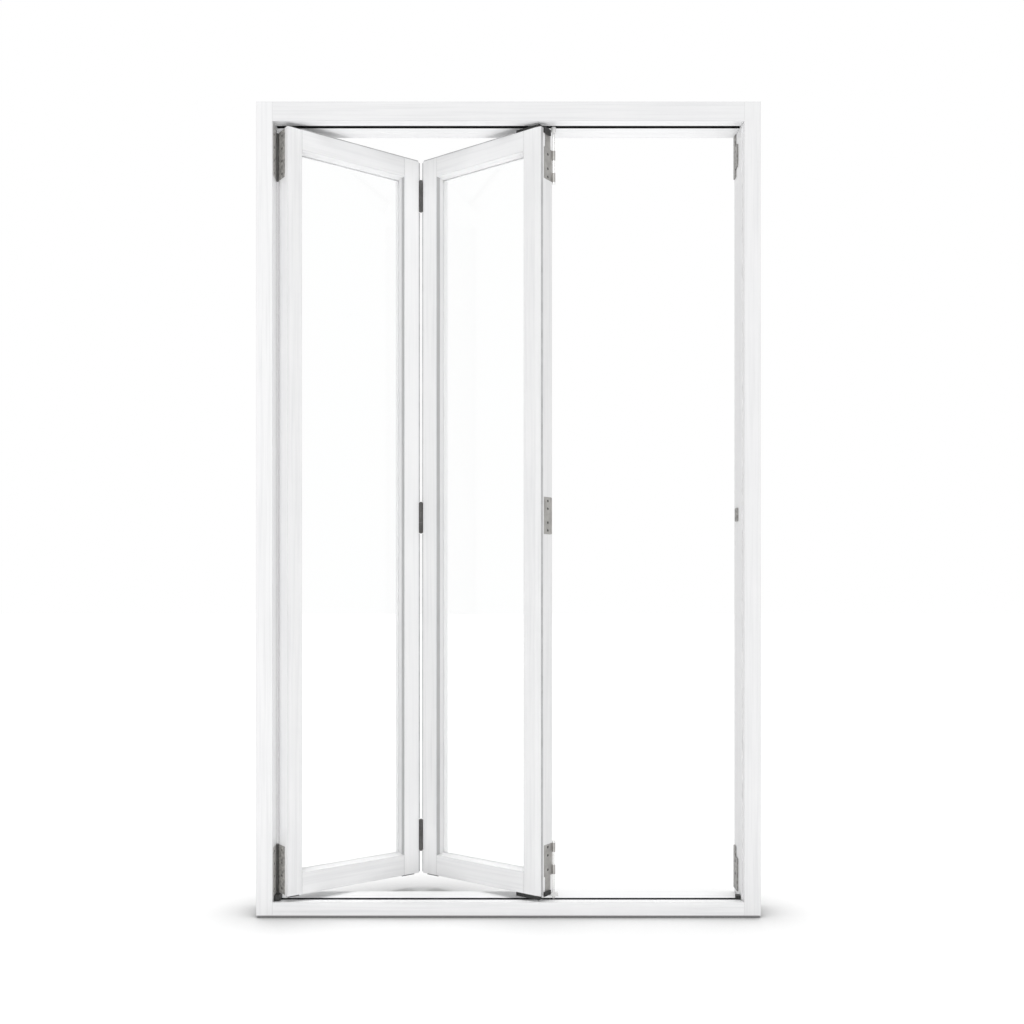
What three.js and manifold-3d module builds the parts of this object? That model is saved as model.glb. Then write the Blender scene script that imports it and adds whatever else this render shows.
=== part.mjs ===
// A white bifold door set: a pair of glazed leaves hung from the left jamb of a full
// perimeter frame, standing partly folded, with the third bay of the frame open.
// Millimetres. +X runs to the right, +Y away from the room, +Z up.
// The origin is the centre of the sill's underside.

import * as THREE from 'three';
import { mergeVertices } from 'three/addons/utils/BufferGeometryUtils.js';
import Module from 'manifold-3d';

const wasm = await Module();
wasm.setup();

// Frame
const frameWidth = 1302;
const frameHeight = 2100;
const frameDepth = 120;
const jambFace = 42;
const headFace = 50;
const sillFace = 34;
const headRise = 6.4;
const sillFall = 5.7;
const revealSlope = 40;

// Leaves: the frame is laid out for three equal leaves
const bayCount = 3;
const leafThickness = 54;
const leafProud = 7;
const leafTopGap = 10;
const leafBottomGap = 13;
const jambGap = 3.5;
const meetingGap = 10;
const foldAngle = THREE.MathUtils.degToRad(36);

// Visible widths of the leaf members
const hangingStile = 41;
const meetingStile = 47;
const innerStile = 49;
const closingStile = 53;
const topRail = 53;
const bottomRail = 56;

// Section of every leaf member, measured from the room face
const lipStraight = 15;
const lipBevel = 10;
const lipReach = 4;
const rebateCover = 12;
const closingBevelFace = 17;
const closingBevelEdge = 2.5;
const sealGrooveWidth = 8;
const sealGrooveDepth = 4;
const sealGrooveSetback = 0.8;

// Joints between stiles and rails
const tenonThickness = 14;
const tenonSetback = 8;
const tenonLength = 28;
const tenonShoulder = 8;

// Glazing
const glassThickness = 6;
const glassEdgeGap = 3;
const beadRearReach = 3;
const settingInset = 45;

// Hinge axes
const axisSetback = 5;
const kneeForward = 3;

// Hinge plates and knuckles
const plateThickness = 3;
const plateReach = 43;
const plateCorner = 3;
const pivotPlateHeight = 125;
const pivotPlateInset = 1;
const knuckleRadius = 4.6;
const knuckleGap = 0.5;
const pinRadius = 2.6;
const pinHead = 2;
const boreClearance = 0.3;
const swingClearance = 0.5;
const jambPlateExtra = 9;

// Knee hinges between the two leaves
const kneeHingeHeight = 84;
const kneePlateReach = 34;
const kneeHingeTop = 97;
const kneeMiddleDrop = 1.5;
const kneeHingeBottom = 106;

// Plates on the free edge of the second leaf
const carrierPlateHeight = 82;
const carrierPlateInset = 47;
const carrierKnuckleHeight = 24;
const neckWidth = 25;
const neckStart = 8;
const carrierScrewOuter = 15.5;
const carrierScrewInner = 7.5;
const carrierScrewStep = 21.5;
const middlePlateHeight = 96;
const middlePlateDrop = 9.5;
const middleScrewInset = 9.6;
const middleScrewPair = 20.2;
const edgeBlockStart = 10.5;
const edgeBlockWidth = 30;
const edgeBlockTopHeight = 13;
const edgeBlockBottomHeight = 9;
const edgeBlockProud = 4;
const edgeBlockOverhang = 3;

// Screw holes in the plates, countersunk
const screwHeadRadius = 4;
const screwHeadHeight = 2.4;
const screwRadius = 1.9;
const overrun = 2;

// Top track, captive in a groove of the head
const slotWidth = 16;
const timberLip = 4;
const trackWidth = 38;
const trackHeight = 30;
const trackWall = 2.2;
const neckWall = 1.7;

// Bottom guide channel
const channelWidth = 16;
const channelHeight = 20;
const channelWall = 1.6;

// Top carrier
const wheelRadius = 11;
const wheelWidth = 8;
const wheelChamfer = 1.2;
const axleRadius = 2.5;
const axleSpacing = 28;
const trolleyLength = 46;
const trolleyWidth = 14;
const trolleyHeight = 15;
const boltRadius = 3;
const boltShoulderRadius = 5;
const boltNutHeight = 5;
const collarRadius = 6.5;
const collarHeight = 13;
const collarLift = 1.5;

// Bottom guide
const footLength = 23;
const footWidth = 16;
const footHeight = 9;
const footDrop = 1;
const guideRollerRadius = 6;
const guideRollerHeight = 10;
const guideHeadRadius = 4.5;
const guideHeadHeight = 2;
const guideFloorGap = 1;

// Pivot block at the end of the guide channel
const pivotBlockLength = 13;
const pivotBlockHeight = 17;
const pivotBlockFront = 35;

// Black seal blocks on the leaf ends
const topBlockHeight = 7.6;
const bottomBlockHeight = 10.6;
const hangingBlockHeight = 3;
const sealBlockThickness = 12;
const sealBlockSetback = 2;
const hiddenBlockSetback = 14;
const outerBlockNear = 6;
const outerBlockFar = 78;
const hangingBlockNear = 3;
const hangingBlockFar = 34;

// Brackets on the right jamb for the leaf that closes the third bay
const bracketRearInset = 3;
const bracketWidth = 43;
const bracketStrapWidth = 20;
const bracketPlateHeight = 58;
const topBracketStrapHeight = 34.4;
const topBracketTail = 21;
const topBracketHeadGap = 1;
const bottomBracketPlateTop = 128;
const bottomBracketTail = 27;
const bottomBracketStrapEnd = 42;
const middleBracketWidth = 28;
const middleBracketHeight = 35;
const middleBracketDrop = 3.5;
const bracketScrewInset = 13;
const middleBracketScrewInset = 8;
const jambFootHeight = 10;
const jambFootLength = 11;

// Seal in the right jamb
const jambSealSetback = 22;
const jambSealWidth = 3;
const jambSealDepth = 4;
const jambSealProud = 1.8;

// Clearance where one piece seats on another
const seat = 0.3;

// Round pieces
const roundSides = 20;
const screwSides = 8;

// Derived places
const frontY = -frameDepth / 2;
const rearY = frameDepth / 2;
const innerHalf = frameWidth / 2 - jambFace;
const innerWidth = 2 * innerHalf;
const leafWidth = (innerWidth - 2 * jambGap - (bayCount - 1) * meetingGap) / bayCount;
const leafTop = frameHeight - headFace - leafTopGap;
const leafBottom = sillFace + leafBottomGap;
const leafMiddle = (leafTop + leafBottom) / 2;
const headUnderside = frameHeight - headFace + headRise;
const sillSurface = sillFace - sillFall;
const topBracketPlateTop = headUnderside - topBracketStrapHeight;
const kneeHingeMiddle = leafMiddle - kneeMiddleDrop;
const middlePlateCentre = leafMiddle - middlePlateDrop;
const middleBracketCentre = leafMiddle - middleBracketDrop;
const axisX = -innerHalf + jambGap / 2;
const axisY = frontY - leafProud + leafThickness + axisSetback;
const farReach = leafThickness + axisSetback;
const pitch = jambGap / 2 + leafWidth + meetingGap / 2;
const kneeReach = farReach + kneeForward;
const kneeX = axisX + pitch * Math.cos(foldAngle) + kneeReach * Math.sin(foldAngle);
const kneeY = axisY + pitch * Math.sin(foldAngle) - kneeReach * Math.cos(foldAngle);
const carrierX = 2 * kneeX - axisX;
const plateWidth = plateReach - axisSetback;
const trackBottom = headUnderside + timberLip + seat;
const boltTop = leafTop + collarLift;
const topPlateHigh = leafTop - pivotPlateInset;
const topPlateLow = topPlateHigh - pivotPlateHeight;
const bottomPlateLow = leafBottom + pivotPlateInset;
const bottomPlateHigh = bottomPlateLow + pivotPlateHeight;

// Materials
const paint = (tone) => new THREE.MeshStandardMaterial({ color: tone, roughness: 0.45 });
const whitePaint = () => paint(0xf1f1ef);
const steel = () => new THREE.MeshStandardMaterial({ color: 0xa9a69f, roughness: 0.35, metalness: 1 });
const blackPlastic = () => new THREE.MeshStandardMaterial({ color: 0x151515, roughness: 0.5 });
const whitePlastic = () => new THREE.MeshStandardMaterial({ color: 0xe6e6e3, roughness: 0.5 });
const blackMetal = () => new THREE.MeshStandardMaterial({ color: 0x1c1c1d, roughness: 0.4, metalness: 0.8 });
const greyRubber = () => new THREE.MeshStandardMaterial({ color: 0x8b8c8e, roughness: 0.8 });
const blackRubber = () => new THREE.MeshStandardMaterial({ color: 0x141414, roughness: 0.85 });
const clearGlass = () =>
  new THREE.MeshStandardMaterial({ color: 0xf4f8f7, roughness: 0.03, transparent: true, opacity: 0.25 });

// Geometry helpers

function signedVolume(geometry) {
  const position = geometry.getAttribute('position');
  const index = geometry.getIndex();
  const a = new THREE.Vector3();
  const b = new THREE.Vector3();
  const c = new THREE.Vector3();
  let sum = 0;
  for (let i = 0; i < index.count; i += 3) {
    a.fromBufferAttribute(position, index.getX(i));
    b.fromBufferAttribute(position, index.getX(i + 1));
    c.fromBufferAttribute(position, index.getX(i + 2));
    sum += a.dot(b.cross(c));
  }
  return sum;
}

// One welded, outward-facing mesh with positions only.
function welded(geometry) {
  const bare = geometry.clone();
  bare.deleteAttribute('normal');
  bare.deleteAttribute('uv');
  const mesh = mergeVertices(bare);
  if (signedVolume(mesh) < 0) {
    const index = mesh.getIndex();
    for (let i = 0; i < index.count; i += 3) {
      const second = index.getX(i + 1);
      index.setX(i + 1, index.getX(i + 2));
      index.setX(i + 2, second);
    }
  }
  return mesh;
}

function toSolid(geometry) {
  const mesh = welded(geometry);
  const vertProperties = new Float32Array(mesh.getAttribute('position').array);
  const triVerts = new Uint32Array(mesh.getIndex().array);
  return new wasm.Manifold(new wasm.Mesh({ numProp: 3, vertProperties, triVerts }));
}

function fromSolid(solid) {
  const mesh = solid.getMesh();
  const geometry = new THREE.BufferGeometry();
  geometry.setAttribute('position', new THREE.BufferAttribute(mesh.vertProperties.slice(), 3));
  geometry.setIndex(new THREE.BufferAttribute(mesh.triVerts.slice(), 1));
  return geometry;
}

// Joins and cuts: everything in added, less everything in removed.
function carve(added, removed = []) {
  let solid = toSolid(added[0]);
  for (const geometry of added.slice(1)) {
    solid = solid.add(toSolid(geometry));
  }
  for (const geometry of removed) {
    solid = solid.subtract(toSolid(geometry));
  }
  return fromSolid(solid);
}

function outline(points) {
  return new THREE.Shape(points.map(([x, y]) => new THREE.Vector2(x, y)));
}

function prism(shape, length) {
  return new THREE.ExtrudeGeometry(shape, { depth: length, bevelEnabled: false });
}

// A prism whose outline is in plan and that stands from low to high.
function upright(points, low, high) {
  return prism(outline(points), high - low).translate(0, 0, low);
}

// A prism whose outline is (y, z) and that runs from left to right.
function lengthwise(points, left, right) {
  const turn = new THREE.Matrix4().makeBasis(
    new THREE.Vector3(0, 1, 0),
    new THREE.Vector3(0, 0, 1),
    new THREE.Vector3(1, 0, 0),
  );
  return prism(outline(points), right - left).applyMatrix4(turn).translate(left, 0, 0);
}

function block(x, y, z) {
  const box = new THREE.BoxGeometry(x[1] - x[0], y[1] - y[0], z[1] - z[0]);
  return box.translate((x[0] + x[1]) / 2, (y[0] + y[1]) / 2, (z[0] + z[1]) / 2);
}

// An upright rod on the given plan point.
function rod(radius, low, high, x = 0, y = 0) {
  const cylinder = new THREE.CylinderGeometry(radius, radius, high - low, roundSides);
  return cylinder.rotateX(Math.PI / 2).translate(x, y, (low + high) / 2);
}

// A flat plate in the (y, z) plane with rounded corners, between two x values.
function edgePlate(x, y, z, corner) {
  const shape = new THREE.Shape();
  shape.moveTo(y[0] + corner, z[0]);
  shape.lineTo(y[1] - corner, z[0]);
  shape.quadraticCurveTo(y[1], z[0], y[1], z[0] + corner);
  shape.lineTo(y[1], z[1] - corner);
  shape.quadraticCurveTo(y[1], z[1], y[1] - corner, z[1]);
  shape.lineTo(y[0] + corner, z[1]);
  shape.quadraticCurveTo(y[0], z[1], y[0], z[1] - corner);
  shape.lineTo(y[0], z[0] + corner);
  shape.quadraticCurveTo(y[0], z[0], y[0] + corner, z[0]);
  const turn = new THREE.Matrix4().makeBasis(
    new THREE.Vector3(0, 1, 0),
    new THREE.Vector3(0, 0, 1),
    new THREE.Vector3(1, 0, 0),
  );
  const options = { depth: x[1] - x[0], bevelEnabled: false, curveSegments: 3 };
  return new THREE.ExtrudeGeometry(shape, options).applyMatrix4(turn).translate(x[0], 0, 0);
}

function addPiece(parent, name, geometry, material) {
  const mesh = new THREE.Mesh(geometry, material);
  mesh.name = name;
  parent.add(mesh);
}

// A countersunk hole for a plate's screw, its wide end in the face at the given place.
function screwHole([x, y, z], direction) {
  const spread = overrun * (screwHeadRadius - screwRadius) / screwHeadHeight;
  const profile = [
    [0, overrun],
    [screwHeadRadius + spread, overrun],
    [screwRadius, -screwHeadHeight],
    [screwRadius, -plateThickness - overrun],
    [0, -plateThickness - overrun],
  ];
  const points = profile.map(([r, h]) => new THREE.Vector2(r, h));
  const lathe = new THREE.LatheGeometry(points, screwSides);
  return lathe.rotateZ(direction * Math.PI / 2).translate(x, y, z);
}

// Frame

function headSection() {
  const axis = axisY;
  const grooveHalf = trackWidth / 2 + seat;
  const grooveTop = trackBottom + trackHeight + seat;
  const lipTop = headUnderside + timberLip;
  return [
    [frontY, frameHeight - headFace],
    [frontY + revealSlope, headUnderside],
    [axis - slotWidth / 2, headUnderside],
    [axis - slotWidth / 2, lipTop],
    [axis - grooveHalf, lipTop],
    [axis - grooveHalf, grooveTop],
    [axis + grooveHalf, grooveTop],
    [axis + grooveHalf, lipTop],
    [axis + slotWidth / 2, lipTop],
    [axis + slotWidth / 2, headUnderside],
    [rearY, headUnderside],
    [rearY, frameHeight],
    [frontY, frameHeight],
  ];
}

function sillSection() {
  const grooveHalf = channelWidth / 2 + seat;
  const grooveFloor = sillSurface - channelHeight - seat;
  return [
    [frontY, 0],
    [rearY, 0],
    [rearY, sillSurface],
    [axisY + grooveHalf, sillSurface],
    [axisY + grooveHalf, grooveFloor],
    [axisY - grooveHalf, grooveFloor],
    [axisY - grooveHalf, sillSurface],
    [frontY + revealSlope, sillSurface],
    [frontY, sillFace],
  ];
}

// The track's neck lines the slot in the head, and its wheels run on the two lips inside.
function trackSection() {
  const outer = trackWidth / 2;
  const inner = outer - trackWall;
  const neck = slotWidth / 2 - seat;
  const lip = neck - neckWall;
  const top = trackBottom + trackHeight;
  return [
    [axisY - neck, trackBottom],
    [axisY - neck, headUnderside],
    [axisY - lip, headUnderside],
    [axisY - lip, trackBottom + trackWall],
    [axisY - inner, trackBottom + trackWall],
    [axisY - inner, top - trackWall],
    [axisY + inner, top - trackWall],
    [axisY + inner, trackBottom + trackWall],
    [axisY + lip, trackBottom + trackWall],
    [axisY + lip, headUnderside],
    [axisY + neck, headUnderside],
    [axisY + neck, trackBottom],
    [axisY + outer, trackBottom],
    [axisY + outer, top],
    [axisY - outer, top],
    [axisY - outer, trackBottom],
  ];
}

function channelSection() {
  const outer = channelWidth / 2;
  const inner = outer - channelWall;
  const floor = sillSurface - channelHeight;
  return [
    [axisY - outer, floor],
    [axisY + outer, floor],
    [axisY + outer, sillSurface],
    [axisY + inner, sillSurface],
    [axisY + inner, floor + channelWall],
    [axisY - inner, floor + channelWall],
    [axisY - inner, sillSurface],
    [axisY - outer, sillSurface],
  ];
}

// The block under the hinge's foot follows the slope of the sill towards the room.
function pivotBlockSection() {
  const rear = axisY + slotWidth / 2;
  const front = axisY - pivotBlockFront;
  const bend = frontY + revealSlope;
  const low = sillSurface + seat;
  const high = low + pivotBlockHeight;
  const rise = sillFall * (bend - front) / revealSlope;
  return [
    [front, low + rise],
    [bend, low],
    [rear, low],
    [rear, high],
    [front, high],
  ];
}

// Heights of the screws in one pivot plate.
function plateScrewHeights(low, high) {
  const inset = bracketScrewInset;
  const step = (high - low - 2 * inset) / 3;
  return [low + inset, low + inset + step, high - inset - step, high - inset];
}

const pivotHinges = [
  { name: 'top', low: topPlateLow, high: topPlateHigh, jambHigh: topPlateHigh + jambPlateExtra },
  { name: 'bottom', low: bottomPlateLow, high: bottomPlateHigh, jambHigh: bottomPlateHigh },
];

const plateScrewY = -(axisSetback + plateReach) / 2;

function addLeftJamb(parent) {
  const outer = -frameWidth / 2;
  const depth = plateThickness + seat;
  const recesses = pivotHinges.map((hinge) =>
    block(
      [-innerHalf - depth, -innerHalf + overrun],
      [axisY - plateReach - seat, axisY + knuckleRadius + seat],
      [hinge.low - seat, hinge.jambHigh + seat],
    ),
  );
  const body = block([outer, -innerHalf], [frontY, rearY], [0, frameHeight]);
  addPiece(parent, 'left_jamb', carve([body], recesses), whitePaint());
}

function bracketScrews() {
  const x = innerHalf - seat - plateThickness;
  const y = rearY - bracketRearInset - bracketWidth / 2;
  const middleY = rearY - bracketRearInset - bracketWidth + middleBracketWidth / 2;
  const topLow = topBracketPlateTop - bracketPlateHeight;
  const bottomLow = bottomBracketPlateTop - bracketPlateHeight;
  const reach = middleBracketHeight / 2 - middleBracketScrewInset;
  return [
    [x, y, topLow + bracketScrewInset],
    [x, y, topBracketPlateTop - bracketScrewInset],
    [x, middleY, middleBracketCentre - reach],
    [x, middleY, middleBracketCentre + reach],
    [x, y, bottomLow + bracketScrewInset],
    [x, y, bottomBracketPlateTop - bracketScrewInset],
  ];
}

function addRightJamb(parent) {
  const groove = block(
    [innerHalf - overrun, innerHalf + jambSealDepth],
    [frontY + jambSealSetback, frontY + jambSealSetback + jambSealWidth],
    [sillFace, frameHeight - headFace],
  );
  const body = block([innerHalf, frameWidth / 2], [frontY, rearY], [0, frameHeight]);
  addPiece(parent, 'right_jamb', carve([body], [groove]), whitePaint());
  const seal = block(
    [innerHalf - jambSealProud, innerHalf + jambSealDepth - seat],
    [frontY + jambSealSetback + seat, frontY + jambSealSetback + jambSealWidth - seat],
    [sillFace + seat, frameHeight - headFace - seat],
  );
  addPiece(parent, 'right_jamb_seal', seal, greyRubber());
}

function addRightJambBrackets(parent) {
  const x = [innerHalf - seat - plateThickness, innerHalf - seat];
  const rear = rearY - bracketRearInset;
  const wide = [rear - bracketWidth, rear];
  const strap = [rear - bracketStrapWidth, rear];
  const holes = bracketScrews().map((place) => screwHole(place, 1));
  const topLow = topBracketPlateTop - bracketPlateHeight;
  const top = [
    edgePlate(x, wide, [topLow, topBracketPlateTop], plateCorner),
    block(x, strap, [topBracketPlateTop - plateCorner, headUnderside - topBracketHeadGap]),
    block(x, strap, [topLow - topBracketTail, topLow + plateCorner]),
  ];
  addPiece(parent, 'right_jamb_top_bracket', carve(top, holes), steel());
  const middle = edgePlate(
    x,
    [wide[0], wide[0] + middleBracketWidth],
    [middleBracketCentre - middleBracketHeight / 2, middleBracketCentre + middleBracketHeight / 2],
    plateCorner,
  );
  addPiece(parent, 'right_jamb_middle_plate', carve([middle], holes), steel());
  const bottomLow = bottomBracketPlateTop - bracketPlateHeight;
  const bottom = [
    edgePlate(x, wide, [bottomLow, bottomBracketPlateTop], plateCorner),
    block(x, strap, [bottomBracketPlateTop - plateCorner, bottomBracketPlateTop + bottomBracketTail]),
    block(x, wide, [bottomBracketStrapEnd, bottomLow + plateCorner]),
  ];
  addPiece(parent, 'right_jamb_bottom_bracket', carve(bottom, holes), steel());
  const foot = block(
    [innerHalf - seat - jambFootLength, innerHalf - seat],
    [axisY - slotWidth / 2, axisY + slotWidth / 2],
    [sillSurface + seat, sillSurface + seat + jambFootHeight],
  );
  addPiece(parent, 'right_jamb_foot_block', foot, blackPlastic());
}

function addFrame(parent) {
  const head = lengthwise(headSection(), -innerHalf, innerHalf);
  addPiece(parent, 'head', welded(head), whitePaint());
  const sill = lengthwise(sillSection(), -innerHalf, innerHalf);
  addPiece(parent, 'sill', welded(sill), whitePaint());
  addLeftJamb(parent);
  addRightJamb(parent);
  addRightJambBrackets(parent);
  const track = lengthwise(trackSection(), -innerHalf, innerHalf);
  addPiece(parent, 'top_track', welded(track), blackMetal());
  const channel = lengthwise(channelSection(), -innerHalf, innerHalf);
  addPiece(parent, 'bottom_guide_channel', welded(channel), blackMetal());
  const stop = lengthwise(pivotBlockSection(), -innerHalf + seat, -innerHalf + seat + pivotBlockLength);
  addPiece(parent, 'pivot_foot_block', welded(stop), blackPlastic());
}

// Hinges. Each is made round an upright axis at the local origin.

// Spans of equal knuckles between low and high.
function knuckleSpans(low, high, count) {
  const step = (high - low) / count;
  return Array.from({ length: count }, (_, i) => [
    low + i * step + knuckleGap / 2,
    low + (i + 1) * step - knuckleGap / 2,
  ]);
}

// One half of a hinge: a plate on one side of the axis and the knuckles that belong to it.
// It is cut away round the other half's knuckles and, past the ends, round the pin's heads.
function hingeHalf({ side, inner, reach, low, high, own, others, ends, bore, screws }) {
  const near = side * inner;
  const far = side * (inner + plateThickness);
  const x = [Math.min(near, far), Math.max(near, far)];
  const y = [Math.min(0, reach), Math.max(0, reach)];
  const added = [edgePlate(x, y, [low, high], plateCorner)];
  for (const [from, to] of own) {
    added.push(rod(knuckleRadius, from, to));
    added.push(block(x, [Math.min(0, reach / 4), Math.max(0, reach / 4)], [from, to]));
  }
  const removed = [];
  for (const [from, to] of others) {
    removed.push(rod(knuckleRadius + swingClearance, from - knuckleGap, to + knuckleGap));
  }
  removed.push(rod(knuckleRadius + swingClearance, low - overrun, ends[0]));
  removed.push(rod(knuckleRadius + swingClearance, ends[1], high + overrun));
  removed.push(rod(bore, low - overrun, high + overrun));
  for (const hole of screws) {
    removed.push(hole);
  }
  return carve(added, removed);
}

function hingePin(low, high) {
  const gap = seat;
  const shank = rod(pinRadius, low - gap - pinHead, high + gap + pinHead);
  const foot = rod(knuckleRadius, low - gap - pinHead, low - gap);
  const cap = rod(knuckleRadius, high + gap, high + gap + pinHead);
  return carve([shank, foot, cap]);
}

// Knuckles that leave room for the pin's heads inside the plate's own height.
function pivotSpans(hinge) {
  const room = pinHead + 2 * seat;
  return knuckleSpans(hinge.low + room, hinge.high - room, 3);
}

function addPivotHinge(root, leafAxis, hinge) {
  const [lower, middle, upper] = pivotSpans(hinge);
  const bore = pinRadius + boreClearance;
  const heights = plateScrewHeights(hinge.low, hinge.high);
  const inner = jambGap / 2;
  const jambPlate = hingeHalf({
    side: -1,
    inner,
    reach: -plateReach,
    low: hinge.low,
    high: hinge.jambHigh,
    own: [lower, upper],
    others: [middle],
    ends: [lower[0], upper[1]],
    bore,
    screws: heights.map((z) => screwHole([-inner, plateScrewY, z], -1)),
  });
  const leafPlate = hingeHalf({
    side: 1,
    inner,
    reach: -plateReach,
    low: hinge.low,
    high: hinge.high,
    own: [middle],
    others: [lower, upper],
    ends: [lower[0], upper[1]],
    bore,
    screws: heights.map((z) => screwHole([inner, plateScrewY, z], 1)),
  });
  jambPlate.translate(axisX, axisY, 0);
  addPiece(root, `${hinge.name}_pivot_jamb_plate`, jambPlate, steel());
  addPiece(leafAxis, `${hinge.name}_pivot_leaf_plate`, leafPlate, steel());
  const pin = hingePin(lower[0], upper[1]).translate(axisX, axisY, 0);
  addPiece(root, `${hinge.name}_pivot_pin`, pin, steel());
}

const kneeHinges = [
  { name: 'top', centre: leafTop - kneeHingeTop },
  { name: 'middle', centre: kneeHingeMiddle },
  { name: 'bottom', centre: leafBottom + kneeHingeBottom },
];

const kneePlateInner = meetingGap / 2 - seat - plateThickness;
const kneeScrewY = (kneeForward + kneePlateReach) / 2;

function kneeScrewHeights(centre) {
  const reach = kneeHingeHeight / 2 - bracketScrewInset;
  return [centre - reach, centre, centre + reach];
}

function addKneeHinge(leafOne, leafTwo, hinge) {
  const low = hinge.centre - kneeHingeHeight / 2;
  const high = hinge.centre + kneeHingeHeight / 2;
  const [lower, middle, upper] = knuckleSpans(low, high, 3);
  const bore = pinRadius + boreClearance;
  const heights = kneeScrewHeights(hinge.centre);
  const inner = kneePlateInner;
  const shared = { inner, reach: kneePlateReach, low, high, ends: [low, high], bore };
  const first = hingeHalf({
    ...shared,
    side: -1,
    own: [lower, upper],
    others: [middle],
    screws: heights.map((z) => screwHole([-inner, kneeScrewY, z], -1)),
  });
  const second = hingeHalf({
    ...shared,
    side: 1,
    own: [middle],
    others: [lower, upper],
    screws: heights.map((z) => screwHole([inner, kneeScrewY, z], 1)),
  });
  addPiece(leafOne, `${hinge.name}_knee_hinge_leaf_1_plate`, first.translate(pitch, -kneeReach, 0), steel());
  addPiece(leafTwo, `${hinge.name}_knee_hinge_leaf_2_plate`, second, steel());
  const pin = hingePin(lower[0], upper[1]).translate(pitch, -kneeReach, 0);
  addPiece(leafOne, `${hinge.name}_knee_hinge_pin`, pin, steel());
}

// Leaves. A leaf is made with its left edge at x = 0 and its room face at y = 0.

// Section of a leaf member: a runs inward from the outer edge, b from the room face.
function memberSection(face) {
  const lip = lipStraight + lipBevel;
  const floor = face + lipReach - rebateCover;
  return [
    [0, 0],
    [face, 0],
    [face, lipStraight],
    [face + lipReach, lip],
    [floor, lip],
    [floor, leafThickness],
    [0, leafThickness],
  ];
}

// The same section grown by the seat all round, to cut what butts against the member.
function memberCutter(face) {
  const lip = lipStraight + lipBevel;
  const floor = face + lipReach - rebateCover;
  return [
    [-overrun, -overrun],
    [face + seat, -overrun],
    [face + seat, lipStraight - seat],
    [face + lipReach + seat, lip],
    [face + lipReach + seat, lip + seat],
    [floor + seat, lip + seat],
    [floor + seat, leafThickness + overrun],
    [-overrun, leafThickness + overrun],
  ];
}

// The closing stile has a bevelled arris and a seal groove beside it.
function closingSection(face) {
  const start = closingBevelEdge + sealGrooveSetback;
  const end = start + sealGrooveWidth;
  const plain = memberSection(face).slice(1);
  return [
    [closingBevelFace, 0],
    ...plain,
    [0, end],
    [sealGrooveDepth, end],
    [sealGrooveDepth, start],
    [0, start],
    [0, closingBevelEdge],
  ];
}

const mirrored = (points) => points.map(([a, b]) => [leafWidth - a, b]);

function railSolid(section, left, right) {
  const from = left + lipReach - rebateCover + seat;
  const to = leafWidth - right - lipReach + rebateCover - seat;
  return lengthwise(section, from, to);
}

// Tenons at both ends of a rail, from the rail into the stiles.
function tenons(left, right, low, high, grow) {
  const y = [tenonSetback - grow, tenonSetback + tenonThickness + grow];
  const z = [low + tenonShoulder - grow, high - tenonShoulder + grow];
  return [
    block([left - tenonLength - grow, left + overrun], y, z),
    block([leafWidth - right - overrun, leafWidth - right + tenonLength + grow], y, z),
  ];
}

function leafFrame({ left, right, closing, stileCuts }) {
  const railCutters = [
    upright(memberCutter(left), leafBottom - overrun, leafTop + overrun),
    upright(mirrored(memberCutter(right)), leafBottom - overrun, leafTop + overrun),
  ];
  const topSection = memberSection(topRail).map(([a, b]) => [b, leafTop - a]);
  const bottomSection = memberSection(bottomRail).map(([a, b]) => [b, leafBottom + a]);
  const topLow = leafTop - topRail;
  const bottomHigh = leafBottom + bottomRail;
  const rail = (section, low, high) => {
    const body = carve([railSolid(section, left, right)], railCutters);
    return carve([body, ...tenons(left, right, low, high, 0)]);
  };
  const mortises = [
    ...tenons(left, right, topLow, leafTop, seat),
    ...tenons(left, right, leafBottom, bottomHigh, seat),
  ];
  const rightSection = closing ? closingSection(right) : memberSection(right);
  const leftSolid = upright(memberSection(left), leafBottom, leafTop);
  const rightSolid = upright(mirrored(rightSection), leafBottom, leafTop);
  return {
    left: carve([leftSolid], [...mortises, ...stileCuts]),
    right: carve([rightSolid], [...mortises, ...stileCuts]),
    top: rail(topSection, topLow, leafTop),
    bottom: rail(bottomSection, leafBottom, bottomHigh),
  };
}

// A block whose opening narrows or widens from its near to its far face.
function splayedBlock(opening, y, insets) {
  const shape = block([opening.left, opening.right], y, [opening.bottom, opening.top]);
  const position = shape.getAttribute('position');
  const middleX = (opening.left + opening.right) / 2;
  const middleY = (y[0] + y[1]) / 2;
  const middleZ = (opening.bottom + opening.top) / 2;
  for (let i = 0; i < position.count; i += 1) {
    const inset = position.getY(i) < middleY ? insets[0] : insets[1];
    const x = position.getX(i);
    const z = position.getZ(i);
    position.setX(i, x < middleX ? x + inset : x - inset);
    position.setZ(i, z < middleZ ? z + inset : z - inset);
  }
  return shape;
}

// The mitred glazing bead that holds the pane from the far side.
function glazingBead(opening) {
  const front = lipStraight + lipBevel + glassThickness + 3 * seat;
  const near = rebateCover;
  const far = rebateCover - lipReach - beadRearReach;
  const slope = (far - near) / (leafThickness - front);
  const body = block(
    [opening.left + seat, opening.right - seat],
    [front, leafThickness],
    [opening.bottom + seat, opening.top - seat],
  );
  const hole = splayedBlock(
    opening,
    [front - overrun, leafThickness + overrun],
    [near - slope * overrun, far + slope * overrun],
  );
  return carve([body], [hole]);
}

function paneAndSetting(opening) {
  const front = lipStraight + lipBevel + seat;
  const y = [front, front + glassThickness];
  const pane = block(
    [opening.left + glassEdgeGap, opening.right - glassEdgeGap],
    y,
    [opening.bottom + glassEdgeGap, opening.top - glassEdgeGap],
  );
  const z = [opening.bottom + seat, opening.bottom + glassEdgeGap - seat];
  const setting = block([opening.left + settingInset, opening.right - settingInset], y, z);
  return { pane, setting };
}

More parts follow.
